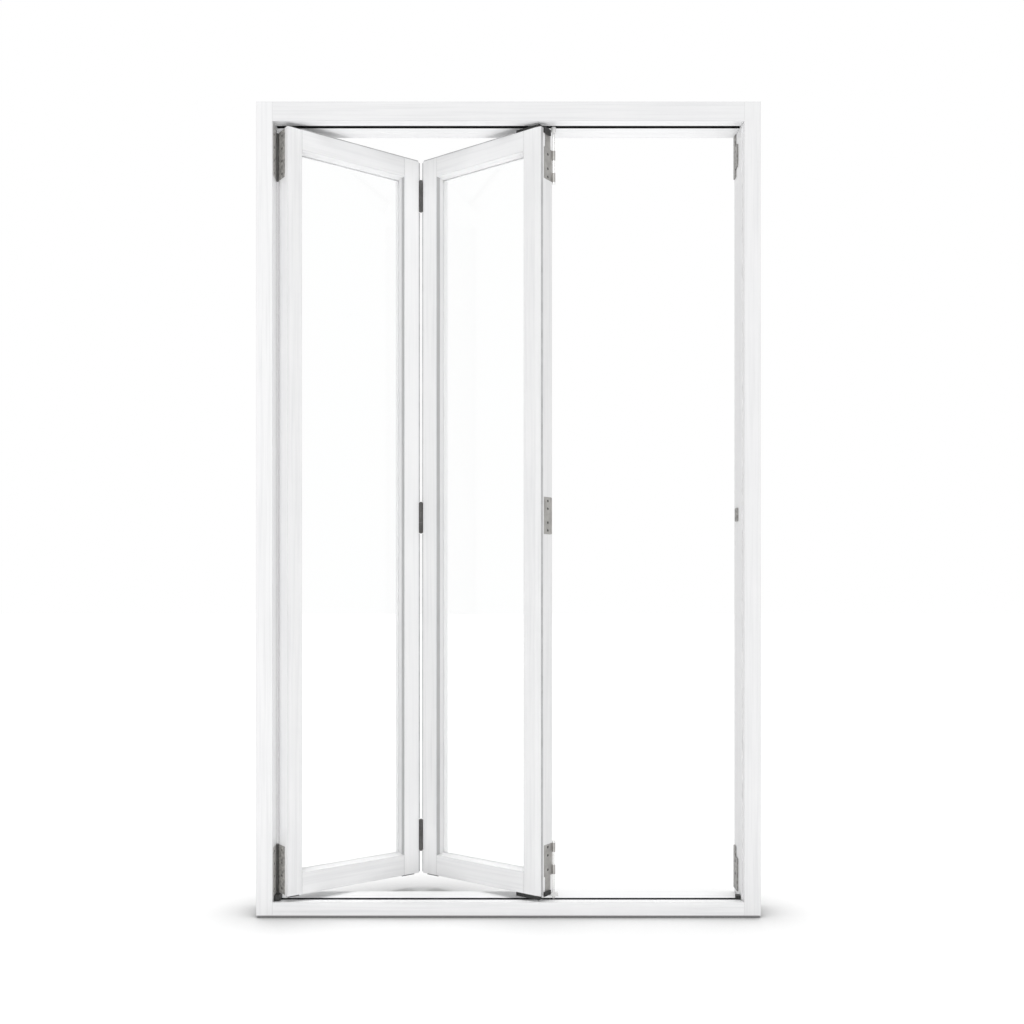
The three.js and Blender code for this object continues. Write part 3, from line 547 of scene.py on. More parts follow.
class Finish(Enum):
    """Every finish of the door set."""

    UPRIGHT_PAINT = SatinPaint("white_paint_upright_grain")
    # Painted shade: the right jamb and the head in a darker white
    RIGHT_PAINT = SatinPaint("painted_shade_on_right_jamb", SHADED_FRAME_WHITES)
    LEVEL_PAINT = SatinPaint("painted_shade_level_grain", SHADED_FRAME_WHITES, grain=Grain.ALONG_X)
    SILL_PAINT = SatinPaint("white_paint_on_sill", grain=Grain.ALONG_X, crease_shade_amount=0.1)
    # Painted light in its brighter white, with strong painted shade close in the corners
    REVEAL_PAINT = SatinPaint(
        "painted_light_and_shade_in_reveals", LIT_REVEAL_WHITES, crease_shade_amount=1.0, crease_shade_reach=10.5 * MM, arris_shade_amount=0.1
    )
    BEAD_PAINT = SatinPaint("white_paint_on_beads", BEAD_WHITES, crease_shade_amount=0.0, arris_shade_amount=0.0)
    STILE_PAINT = SatinPaint("white_paint_on_stiles", LEAF_WHITES, crease_shade_amount=0.1)
    # Painted light: the first leaf's meeting stile in a brighter white
    BRIGHT_STILE_PAINT = SatinPaint("painted_light_on_meeting_stile", BEAD_WHITES, crease_shade_amount=0.1)
    # Painted shade on the lips' walls
    WALL_PAINT = SatinPaint("painted_shade_in_lips", SHADED_WALL_WHITES, arris_shade_amount=0.2)
    # Painted shade on the bevels
    BEVEL_PAINT = SatinPaint("painted_shade_on_bevels", SHADED_BEVEL_WHITES, arris_shade_amount=0.2)
    FIRST_RAIL_PAINT = SatinPaint(
        "white_paint_on_first_rails", LEAF_WHITES, grain=Grain.ALONG_X, turn=-FOLD
    )
    SECOND_RAIL_PAINT = SatinPaint(
        "white_paint_on_second_rails", LEAF_WHITES, grain=Grain.ALONG_X, turn=FOLD
    )
    WHITE_PLASTIC = SatinPaint(
        "white_nylon", NYLON_WHITES, roughness=(0.42, 0.55), grain=Grain.NONE
    )
    PLATED = SatinSteel(
        "plated_steel", (0.62, 0.61, 0.58), (0.2, 0.197, 0.19), (0.8, 0.79, 0.77), metallic=0.1,
        cloud=130.0,
    )
    # Painted light: a brighter copy of the plated steel for the pivot hinges' jamb plates
    BRIGHT_PLATED = SatinSteel(
        "painted_light_plated_steel", (0.86, 0.85, 0.83), (0.5, 0.49, 0.48), (0.9, 0.89, 0.88),
        metallic=0.1, cloud=130.0,
    )
    DULL_PLATED = SatinSteel(
        "dull_plated_steel", (0.42, 0.413, 0.395), (0.16, 0.157, 0.15), (0.6, 0.59, 0.57),
        metallic=0.1, cloud=130.0,
    )
    ROD = SatinSteel(
        "bright_rod", (0.86, 0.86, 0.85), (0.8, 0.8, 0.79), (0.9, 0.9, 0.9), (0.2, 0.35)
    )
    STEEL = SatinSteel("satin_steel", (0.46, 0.45, 0.435), (0.34, 0.333, 0.32), (0.7, 0.69, 0.67))
    # Painted shade: near-black steel for the knuckles and the knee hinges between the leaves
    KNUCKLE = SatinSteel(
        "shaded_knuckle_steel", (0.1, 0.098, 0.095), (0.06, 0.058, 0.056), (0.3, 0.29, 0.28),
        metallic=0.4,
    )
    # Near-black screw steel, whose darkness is partly painted shade for the screw holes
    SCREW = SatinSteel(
        "dark_screw_steel_painted_shade", (0.03, 0.029, 0.028), (0.02, 0.019, 0.018), (0.12, 0.12, 0.115),
        (0.55, 0.75), metallic=0.1,
    )
    TRACK = DarkSkin(
        "black_anodised_track", (0.012, 0.012, 0.013), (0.05, 0.05, 0.05), (0.3, 0.5), 0.6, 300.0,
        0.02 * MM, grain=Grain.ALONG_X,
    )
    PLASTIC = DarkSkin("black_nylon", (0.014, 0.014, 0.014), (0.06, 0.06, 0.06), (0.4, 0.6))
    BLACK_RUBBER = DarkSkin(
        "black_seal_rubber", (0.02, 0.02, 0.02), (0.07, 0.07, 0.07), (0.6, 0.85), dusty=0.4
    )
    GREY_RUBBER = DarkSkin(
        "grey_seal_rubber", (0.42, 0.42, 0.43), (0.5, 0.5, 0.5), (0.6, 0.8), dusty=0.15
    )
    PALE_SEAL = DarkSkin(
        "pale_seal_strip", (0.82, 0.82, 0.825), (0.8, 0.8, 0.8), (0.5, 0.7), dusty=0.05
    )
    # Painted shade: near-black inside the grooves of the head and the sill
    GROOVE = DarkSkin(
        "painted_shade_in_groove", (0.015, 0.015, 0.015), (0.03, 0.03, 0.03), (0.6, 0.8), dusty=0.1
    )
    GLASS = ClearGlass("clear_float_glass")

    @property
    def material(self) -> bpy.types.Material:
        """The finish's material, built when it is first asked for."""
        return bpy.data.materials.get(self.value.name) or self.value.build()


# Mesh helpers


def smooth_group() -> bpy.types.NodeTree:
    """Builds the geometry group that shades shallow edges smooth and keeps the others sharp.

    Returns:
        The geometry node group.
    """
    name = "soft_shading"
    if name in bpy.data.node_groups:
        return bpy.data.node_groups[name]
    tree = bpy.data.node_groups.new(name, "GeometryNodeTree")
    for way in ("INPUT", "OUTPUT"):
        tree.interface.new_socket("Geometry", in_out=way, socket_type="NodeSocketGeometry")
    net = Wiring(tree)
    given = tree.nodes.new("NodeGroupInput").outputs[0]
    faces = net.node("GeometryNodeSetShadeSmooth", {"Geometry": given}).outputs[0]
    angle = net.node("GeometryNodeInputMeshEdgeAngle").outputs["Unsigned Angle"]
    sharp = net.node(
        "FunctionNodeCompare", {"A": angle, "B": SOFT_ANGLE}, operation="GREATER_THAN"
    )
    feeds = {"Geometry": faces, "Selection": sharp.outputs[0], "Shade Smooth": False}
    edges = net.node("GeometryNodeSetShadeSmooth", feeds, domain="EDGE")
    net.put(edges.outputs[0], tree.nodes.new("NodeGroupOutput").inputs[0])
    return tree


def soften(piece: bpy.types.Object, width: float, segments: int) -> None:
    """Rounds a piece's arrises and shades it softly.

    Args:
        piece: The object.
        width: Width of the rounding, in metres.
        segments: Steps round each arris.
    """
    bevel = piece.modifiers.new("eased_arris", "BEVEL")
    bevel.width = width
    bevel.segments = segments
    bevel.limit_method = "ANGLE"
    bevel.angle_limit = ARRIS_ANGLE
    bevel.use_clamp_overlap = True
    shade = piece.modifiers.new("soft_shading", "NODES")
    shade.node_group = smooth_group()
    weighted = piece.modifiers.new("flat_faces", "WEIGHTED_NORMAL")
    weighted.keep_sharp = True
    weighted.weight = 100


def dress(node: str, finish: Finish, arris: float, segments: int = 2) -> None:
    """Gives a carried-over node its finish and its eased arrises.

    Args:
        node: The node's name.
        finish: Its finish.
        arris: Width of the rounding, in metres.
        segments: Steps round each arris.
    """
    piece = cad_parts[node]
    piece.data.materials.clear()
    piece.data.materials.append(finish.material)
    soften(piece, arris, segments)
    log.info("dressed %s with %s", node, finish.value.name)


def coat(node: str, finish: Finish, chosen: Chooser) -> None:
    """Gives some faces of a dressed node another finish.

    Args:
        node: The node's name.
        finish: The other finish.
        chosen: Tells, from a face's middle and normal in the frame, whether it takes the finish.
    """
    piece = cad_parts[node]
    piece.data.materials.append(finish.material)
    place = piece.matrix_world
    spin = place.to_3x3()
    for face in piece.data.polygons:
        if chosen(place @ face.center, spin @ face.normal):
            face.material_index = len(piece.data.materials) - 1


def new_piece(name: str, mesh: bpy.types.Mesh, finish: Finish, body: Body) -> None:
    """Adds a piece that rides on a body.

    Args:
        name: The piece's name.
        mesh: Its mesh, in the frame's metres.
        finish: Its finish.
        body: The body that it rides on.
    """
    piece = bpy.data.objects.new(name, mesh)
    bpy.context.scene.collection.objects.link(piece)
    mesh.materials.append(finish.material)
    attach(piece, body.value)
    log.info("made %s on %s", name, body.value)


def plain_mesh(name: str, build: bmesh.types.BMesh) -> bpy.types.Mesh:
    """Turns a bmesh into a mesh.

    Args:
        name: The mesh's name.
        build: The bmesh, which is freed.

    Returns:
        The mesh.
    """
    mesh = bpy.data.meshes.new(name)
    build.to_mesh(mesh)
    build.free()
    return mesh


def mesh_from(name: str, build: bmesh.types.BMesh) -> bpy.types.Mesh:
    """Turns a bmesh into a smooth-shaded mesh with clean outward faces.

    Args:
        name: The mesh's name.
        build: The bmesh, which is freed.

    Returns:
        The mesh.
    """
    bmesh.ops.recalc_face_normals(build, faces=build.faces)
    for face in build.faces:
        face.smooth = True
    for edge in build.edges:
        edge.smooth = len(edge.link_faces) == 2 and edge.calc_face_angle(0.0) < SOFT_ANGLE
    return plain_mesh(name, build)


def joined(parts: Sequence[bmesh.types.BMesh]) -> bmesh.types.BMesh:
    """Puts bmeshes, which are freed, together in one.

    Args:
        parts: The bmeshes.

    Returns:
        One bmesh with all of them.
    """
    whole = bmesh.new()
    for part in parts:
        holder = plain_mesh("joined_part", part)
        whole.from_mesh(holder)
        bpy.data.meshes.remove(holder)
    return whole


def revolve(profile: Outline, steps: int) -> bmesh.types.BMesh:
    """Turns a profile about Z.

    Args:
        profile: Radius and height pairs, from the axis below to the axis above.
        steps: Sides round the axis.

    Returns:
        A closed bmesh.
    """
    build = bmesh.new()
    rings: list[list[bmesh.types.BMVert]] = []
    for radius, height in profile:
        angles = [2 * math.pi * i / steps for i in range(steps)] if radius else [0.0]
        rings.append(
            [build.verts.new((radius * math.cos(a), radius * math.sin(a), height)) for a in angles]
        )
    for lower, upper in zip(rings, rings[1:]):
        for i in range(steps):
            j = (i + 1) % steps
            if len(lower) == 1:
                build.faces.new((lower[0], upper[j], upper[i]))
            elif len(upper) == 1:
                build.faces.new((lower[i], lower[j], upper[0]))
            else:
                build.faces.new((lower[i], lower[j], upper[j], upper[i]))
    return build


def sweep(
    outline: Outline, start: Vector, along: Vector, across: Vector, out: Vector
) -> bmesh.types.BMesh:
    """Extrudes an outline along a straight line.

    Args:
        outline: Points as (across, out) distances.
        start: Where the line starts.
        along: The whole length as a vector.
        across: Unit direction of the outline's first value.
        out: Unit direction of the outline's second value.

    Returns:
        A closed bmesh.
    """
    build = bmesh.new()
    near, far = (
        [build.verts.new(start + shift + across * a + out * b) for a, b in outline]
        for shift in (Vector(), along)
    )
    build.faces.new(near)
    build.faces.new(list(reversed(far)))
    for i in range(len(outline)):
        j = (i + 1) % len(outline)
        build.faces.new((near[i], near[j], far[j], far[i]))
    return build


# Screws


@dataclass
class CrossScrew:
    """Countersunk screw whose head has a cross recess."""

    head_radius: float = 3.75 * MM
    head_height: float = 2.2 * MM
    shank_radius: float = 1.85 * MM
    rim: float = 0.35 * MM
    rim_edge: float = 0.12 * MM
    rim_width: float = 0.2 * MM
    crown: tuple[float, float] = (0.1 * MM, 0.14 * MM)
    sunk: float = 0.35 * MM
    length: float = 2.9 * MM
    sides: int = 28
    arm: float = 2.2 * MM
    arm_width: float = 0.75 * MM
    recess: float = 1.3 * MM
    recess_top: float = 0.6 * MM
    recess_taper: float = 0.45
    width_taper: float = 0.7
    first_turn: float = 37.0
    next_turn: float = 53.0
    mesh: bpy.types.Mesh = field(init=False)

    def __post_init__(self) -> None:
        """Cuts the recess once, and keeps the result as the pattern for every screw."""
        cross = self._combined(self._arm(0.0), self._arm(math.pi / 2), "UNION")
        self.mesh = self._combined(self._head(), cross, "DIFFERENCE")

    def _head(self) -> bpy.types.Mesh:
        """Makes the head without its recess, its top just under z = 0.

        Returns:
            The head with the start of its shank.
        """
        top = self.head_radius
        profile = [
            (0.0, -self.length),
            (self.shank_radius, -self.length),
            (self.shank_radius, -self.head_height),
            (top, -self.rim - self.sunk),
            (top, -self.sunk - self.rim_edge),
            (top - self.rim_width, -self.sunk),
            (top / 2, self.crown[0] - self.sunk),
            (0.0, self.crown[1] - self.sunk),
        ]
        return plain_mesh("screw_head", revolve(profile, self.sides))

    def _arm(self, turned: float) -> bpy.types.Mesh:
        """Makes one tapered bar of the cross that is cut from the head.

        Args:
            turned: Its angle about Z.

        Returns:
            The bar.
        """
        build = bmesh.new()
        for height, share in ((self.recess_top, 1.0), (-self.recess, self.recess_taper)):
            reach, half = self.arm * share, self.arm_width / 2 * max(share, self.width_taper)
            for x, y in ((-reach, -half), (reach, -half), (reach, half), (-reach, half)):
                build.verts.new((x, y, height))
        v = list(build.verts)
        build.faces.new(v[:4])
        build.faces.new(v[:3:-1])
        for i in range(4):
            j = (i + 1) % 4
            build.faces.new((v[i], v[i + 4], v[j + 4], v[j]))
        bmesh.ops.rotate(build, verts=build.verts, matrix=Matrix.Rotation(turned, 3, "Z"))
        bmesh.ops.recalc_face_normals(build, faces=build.faces)
        return plain_mesh("recess_arm", build)

    @staticmethod
    def _combined(
        first: bpy.types.Mesh, second: bpy.types.Mesh, operation: str
    ) -> bpy.types.Mesh:
        """Joins two closed meshes, or cuts one from the other.

        Args:
            first: The mesh that is changed.
            second: The mesh that changes it.
            operation: The Boolean modifier's operation.

        Returns:
            The result.
        """
        helpers = [bpy.data.objects.new("screw_helper", mesh) for mesh in (first, second)]
        for helper in helpers:
            bpy.context.scene.collection.objects.link(helper)
        change = helpers[0].modifiers.new("change", "BOOLEAN")
        change.operation = operation
        change.solver = "EXACT"
        change.object = helpers[1]
        bpy.context.view_layer.update()
        graph = bpy.context.evaluated_depsgraph_get()
        result = bpy.data.meshes.new_from_object(helpers[0].evaluated_get(graph))
        for helper in helpers:
            bpy.data.objects.remove(helper)
        return result

    def fit(self, name: str, places: Places, body: Body) -> None:
        """Puts a screw at each place, each turned a little differently.

        Args:
            name: The name of the piece with all of them.
            places: The middle of each head's face, and the way that the face looks.
            body: The body that they ride on.
        """
        parts = []
        for number, (place, facing) in enumerate(places):
            part = bmesh.new()
            part.from_mesh(self.mesh)
            spin = Matrix.Rotation(
                math.radians(self.first_turn + self.next_turn * number), 4, "Z"
            )
            turn = facing.normalized().to_track_quat("Z", "Y").to_matrix().to_4x4()
            matrix = Matrix.Translation(place) @ turn @ spin
            bmesh.ops.transform(part, verts=part.verts, matrix=matrix)
            parts.append(part)
        # The screws' near-black is partly painted shade
        new_piece(name, mesh_from(name, joined(parts)), Finish.SCREW, body)


def on_plate(
    axis: Vector, turned: float, across: float, depth: float, heights: Sequence[float]
) -> Places:
    """Works out a row of screws on a plate that stands beside an upright axis.

    Args:
        axis: The axis.
        turned: The plate's angle about it.
        across: How far the plate's face is from it, to the right.
        depth: How far the row is from it, to the back.
        heights: The screws' heights.

    Returns:
        The middle of each head's face, and the way to the axis, which the plate looks.
    """
    turn = Matrix.Rotation(turned, 3, "Z")
    facing = turn @ (-math.copysign(1.0, across) * X)
    return [(axis + turn @ Vector((across, depth, z)), facing) for z in heights]


# Layout of the turned leaves


@dataclass
class FoldLayout:
    """Where the hinge axes stand and how far the leaves are folded at rest."""

    fold: float = FOLD
    jamb_axis: Vector = field(default_factory=lambda: Vector((-607.25, -8.0, 0.0)) * MM)
    pitch: float = 403.75 * MM
    face_to_axis: float = 59 * MM
    knee_forward: float = 3 * MM
    leaf_width: float = 397 * MM
    leaf_low: float = 47 * MM
    leaf_high: float = 2040 * MM
    half_jamb_gap: float = 1.75 * MM
    half_meeting_gap: float = 5 * MM
    plate_reach: float = 43 * MM
    axis_setback: float = 5 * MM
    knee_height: float = 84 * MM
    knee_centres: dict[str, float] = field(
        default_factory=lambda: {"top": 1943 * MM, "middle": 1042 * MM, "bottom": 153 * MM}
    )

    @property
    def knee_axis(self) -> Vector:
        """The upright axis between the two leaves."""
        own = Vector((self.pitch, -self.face_to_axis - self.knee_forward, 0.0))
        return self.jamb_axis + Matrix.Rotation(self.fold, 3, "Z") @ own

    @property
    def carrier_axis(self) -> Vector:
        """The upright axis at the second leaf's free edge."""
        return Vector((2 * self.knee_axis.x - self.jamb_axis.x, self.jamb_axis.y, 0.0))

    @property
    def plate_middle(self) -> float:
        """Depth of the middle of an edge plate, seen from its axis."""
        return -(self.axis_setback + self.plate_reach) / 2

    def first_leaf(self) -> Matrix:
        """Returns the matrix from the first leaf's own frame."""
        own = Matrix.Translation((self.half_jamb_gap, -self.face_to_axis, 0.0))
        return Matrix.Translation(self.jamb_axis) @ Matrix.Rotation(self.fold, 4, "Z") @ own

    def second_leaf(self) -> Matrix:
        """Returns the matrix from the second leaf's own frame."""
        own = Matrix.Translation((self.half_meeting_gap, self.knee_forward, 0.0))
        return Matrix.Translation(self.knee_axis) @ Matrix.Rotation(-self.fold, 4, "Z") @ own


# Sub-assemblies


@dataclass
class Ironmongery:
    """Steel plates that are screwed on beside the axes of the leaves."""

    layout: FoldLayout
    screw: CrossScrew
    arris: float = 0.35 * MM


@dataclass
class DoorFrame:
    """Head, sill and jambs with the track, the guide channel and the seals."""

    arris: float = 1.6 * MM
    level_arris: float = 0.9 * MM
    fine_arris: float = 0.3 * MM
    block_arris: float = 0.8 * MM
    groove_axis: float = -8 * MM
    groove_half: float = 22 * MM
    reveal_limit: float = 630 * MM
    square_on: float = 0.9

    def _in_groove(self, middle: Vector, facing: Vector) -> bool:
        """Tells whether a face lies inside the groove of the head or the sill."""
        beside = abs(middle.y - self.groove_axis) < self.groove_half
        return beside and abs(facing.y) > self.square_on

    def _in_reveal(self, middle: Vector, facing: Vector) -> bool:
        """Tells whether a face is the inner side of a jamb."""
        return abs(facing.x) > self.square_on and abs(middle.x) < self.reveal_limit

    def build(self) -> None:
        """Dresses the frame's nodes."""
        # The right jamb and the head take a darker white, which is painted shade
        for node, paint in (
            ("left_jamb", Finish.UPRIGHT_PAINT), ("right_jamb", Finish.RIGHT_PAINT)
        ):
            dress(node, paint, self.arris, segments=3)
            # The reveals take painted light, with painted shade in their corners
            coat(node, Finish.REVEAL_PAINT, self._in_reveal)
        for node, paint in (("head", Finish.LEVEL_PAINT), ("sill", Finish.SILL_PAINT)):
            dress(node, paint, self.level_arris, segments=3)
            # The grooves take painted shade
            coat(node, Finish.GROOVE, self._in_groove)
        for node in ("top_track", "bottom_guide_channel"):
            dress(node, Finish.TRACK, self.fine_arris)
        dress("right_jamb_seal", Finish.PALE_SEAL, self.fine_arris)
        for node in ("right_jamb_foot_block", "pivot_foot_block"):
            dress(node, Finish.PLASTIC, self.block_arris, segments=3)


@dataclass
class PivotHinges(Ironmongery):
    """The pair of hinges on the left jamb."""

    plate_height: float = 125 * MM
    inset: float = 1 * MM
    screw_inset: float = 13 * MM
    screws: int = 4
    knuckle_reach: float = 5.2 * MM

    def _on_knuckle(self, middle: Vector, facing: Vector) -> bool:
        """Tells whether a face belongs to the knuckles round the axis."""
        return (middle - self.layout.jamb_axis).to_2d().length < self.knuckle_reach

    def build(self) -> None:
        """Dresses both hinges and puts their screws in."""
        gap, depth = self.layout.half_jamb_gap, self.layout.plate_middle
        axis, fold = self.layout.jamb_axis, self.layout.fold
        step = (self.plate_height - 2 * self.screw_inset) / (self.screws - 1)
        for name, low in (
            ("top", self.layout.leaf_high - self.inset - self.plate_height),
            ("bottom", self.layout.leaf_low + self.inset),
        ):
            for part, finish in (
                # The jamb plates take the painted light of the brighter plating
                ("jamb_plate", Finish.BRIGHT_PLATED),
                ("leaf_plate", Finish.PLATED),
                ("pin", Finish.PLATED),
            ):
                dress(f"{name}_pivot_{part}", finish, self.arris)
                # The knuckles take painted shade
                coat(f"{name}_pivot_{part}", Finish.KNUCKLE, self._on_knuckle)
            heights = [low + self.screw_inset + i * step for i in range(self.screws)]
            jamb = on_plate(axis, 0.0, -gap, depth, heights)
            leaf = on_plate(axis, fold, gap, depth, heights)
            self.screw.fit(f"{name}_pivot_jamb_screws", jamb, Body.FRAME)
            self.screw.fit(f"{name}_pivot_leaf_screws", leaf, Body.FIRST_LEAF)


@dataclass
class KneeHinges(Ironmongery):
    """The three hinges between the leaves."""

    screw_inset: float = 13 * MM
    screw_depth: float = 18.5 * MM
    plate_inner: float = 1.7 * MM

    def build(self) -> None:
        """Dresses the hinges and puts their screws in."""
        axis = self.layout.knee_axis
        reach = self.layout.knee_height / 2 - self.screw_inset
        for name, centre in self.layout.knee_centres.items():
            for part in ("leaf_1_plate", "leaf_2_plate", "pin"):
                # The knee hinges take painted shade
                dress(f"{name}_knee_hinge_{part}", Finish.KNUCKLE, self.arris)
            for side, body, label in (
                (-1.0, Body.FIRST_LEAF, "leaf_1"), (1.0, Body.SECOND_LEAF, "leaf_2")
            ):
                places = on_plate(
                    axis, -side * self.layout.fold, side * self.plate_inner, self.screw_depth,
                    (centre - reach, centre, centre + reach),
                )
                self.screw.fit(f"{name}_knee_hinge_{label}_screws", places, body)


@dataclass
class Leaf:
    """One glazed leaf, in its own frame: x from its left edge, y from its room face.

    The side is 1 where the meeting edge is its right one and -1 where it is its left one, and
    the top seal stops short of the other edge by the top stop.
    """

    name: str
    stiles: dict[str, Finish]
    rail_paint: Finish
    body: Body
    place: Matrix
    side: float
    top_stop: float
    layout: FoldLayout
    arris: float = 1.8 * MM
    bead_arris: float = 0.8 * MM
    pane_arris: float = 0.6 * MM
    strip_arris: float = 0.3 * MM
    seal_gap: float = 0.3 * MM
    knee_span: tuple[float, float] = (14 * MM, 52 * MM)
    knee_depth: tuple[float, float] = (2 * MM, 14 * MM)
    knee_height: float = 2.6 * MM
    knee_easing: tuple[float, float] = (0.8 * MM, 0.8 * MM)
    top_start: float = 2 * MM
    top_depth: tuple[float, float] = (1.2 * MM, 7.2 * MM)
    top_height: float = 3.6 * MM
    top_easing: tuple[float, float] = (2 * MM, 1 * MM)
    meeting_reach: float = 4.4 * MM
    meeting_depth: tuple[float, float] = (1 * MM, 9 * MM)
    meeting_chamfer: float = 0.8 * MM
    meeting_flat: float = 0.8
    hinge_margin: float = 3 * MM
    wall_depth: float = 15.5 * MM
    lip_depth: float = 25.5 * MM
    edge_margin: float = 20 * MM
    square_on: float = 0.85

    def _own(self, middle: Vector, facing: Vector) -> tuple[Vector, Vector]:
        """Turns a face's middle and normal from the frame's coordinates into the leaf's."""
        back = self.place.inverted()
        return back @ middle, back.to_3x3() @ facing

    def _across(self, middle: Vector, facing: Vector) -> float:
        """Tells how deep a face lies that looks across the opening.

        Args:
            middle: The face's middle.
            facing: The face's normal.

        Returns:
            Its depth from the room face, or infinity for any other face.
        """
        own, looks = self._own(middle, facing)
        inside = self.edge_margin < own.x < self.layout.leaf_width - self.edge_margin
        return own.y if inside and abs(looks.x) > self.square_on else math.inf

    def _on_wall(self, middle: Vector, facing: Vector) -> bool:
        """Tells whether a face is the straight wall of the lip."""
        return self._across(middle, facing) < self.wall_depth

    def _on_bevel(self, middle: Vector, facing: Vector) -> bool:
        """Tells whether a face is the bevel between the lip's wall and the pane."""
        return self.wall_depth <= self._across(middle, facing) < self.lip_depth

    def _on_hanging_edge(self, middle: Vector, facing: Vector) -> bool:
        """Tells whether a face is the leaf's own left edge."""
        own, looks = self._own(middle, facing)
        return own.x < self.edge_margin and looks.x < -self.square_on

    def build(self) -> None:
        """Dresses the leaf's members, bead, pane and seals, and adds its thin seals."""
        for stile, paint in self.stiles.items():
            node = f"{self.name}_{stile}"
            dress(node, paint, self.arris, segments=4)
            # The lip's walls and bevels take painted shade
            coat(node, Finish.WALL_PAINT, self._on_wall)
            coat(node, Finish.BEVEL_PAINT, self._on_bevel)
            # The hanging edge takes the painted light of the reveals
            if stile == "hanging_stile":
                coat(node, Finish.REVEAL_PAINT, self._on_hanging_edge)
        for rail in ("top_rail", "bottom_rail"):
            dress(f"{self.name}_{rail}", self.rail_paint, self.arris, segments=4)
        dress(f"{self.name}_glazing_bead", Finish.BEAD_PAINT, self.bead_arris, segments=3)
        dress(f"{self.name}_glass_pane", Finish.GLASS, self.pane_arris)
        dress(f"{self.name}_setting_strip", Finish.PLASTIC, self.strip_arris)
        for block in ("top_seal_block", "bottom_seal_block"):
            dress(f"{self.name}_{block}", Finish.BLACK_RUBBER, self.pane_arris)
        low, high = self.layout.leaf_low - self.seal_gap, self.layout.leaf_high + self.seal_gap
        knee = self._level_seal(
            self.knee_depth, low, low - self.knee_height, self.knee_easing, self.knee_span
        )
        self._add("knee_seal_block", Finish.BLACK_RUBBER, [knee])
        span = (self.top_start, self.layout.leaf_width - self.top_stop)
        weather = self._level_seal(
            self.top_depth, high, high + self.top_height, self.top_easing, span
        )
        self._add("top_weather_seal", Finish.GREY_RUBBER, [weather])
        self._add("meeting_seal", Finish.GREY_RUBBER, self._meeting_seal())

    def _from_meeting(self, distance: float) -> float:
        """Tells where a distance from the meeting edge lies across the leaf."""
        return self.layout.leaf_width - distance if self.side > 0 else distance

    def _add(
        self, label: str, finish: Finish, parts: Sequence[bmesh.types.BMesh]
    ) -> None:
        """Adds a seal that turns with the leaf.

        Args:
            label: The seal's name, without the leaf's.
            finish: Its finish.
            parts: Its lengths, in the leaf's own frame.
        """
        whole = joined(parts)
        bmesh.ops.transform(whole, verts=whole.verts, matrix=self.place)
        name = f"{self.name}_{label}"
        new_piece(name, mesh_from(name, whole), finish, self.body)

    def _level_seal(
        self, depth: tuple[float, float], base: float, tip: float, easing: tuple[float, float],
        span: tuple[float, float],
    ) -> bmesh.types.BMesh:
        """Makes a level strip with the two free corners of its section cut off.

        Args:
            depth: Where it starts and ends, from the room face.
            base: Height of the side on the leaf.
            tip: Height of the free side.
            easing: How far each cut runs in depth and in height.
            span: Where it starts and ends, from the meeting edge.

        Returns:
            The strip in the leaf's own frame.
        """
        (near, far), (inset, drop) = depth, easing
        shoulder = tip - math.copysign(drop, tip - base)
        outline = [
            (near, base), (near, shoulder), (near + inset, tip),
            (far - inset, tip), (far, shoulder), (far, base),
        ]
        start, end = sorted(self._from_meeting(distance) for distance in span)
        return sweep(outline, X * start, X * (end - start), Y, Z)

    def _meeting_seal(self) -> list[bmesh.types.BMesh]:
        """Makes the rubber strip down the meeting edge, cut out for the knee hinges.

        Returns:
            Its lengths in the leaf's own frame.
        """
        near, far = self.meeting_depth
        tip = self.side * self.meeting_reach
        outline = [
            (0.0, near), (self.meeting_flat * tip, near), (tip, near + self.meeting_chamfer),
            (tip, far), (0.0, far),
        ]
        half = self.layout.knee_height / 2 + self.hinge_margin
        stops = [self.layout.leaf_low + self.hinge_margin]
        for centre in sorted(self.layout.knee_centres.values()):
            stops += [centre - half, centre + half]
        stops.append(self.layout.leaf_high - self.hinge_margin)
        edge = X * self._from_meeting(0.0)
        return [
            sweep(outline, edge + Z * low, Z * (high - low), X, Y)
            for low, high in zip(stops[::2], stops[1::2])
        ]


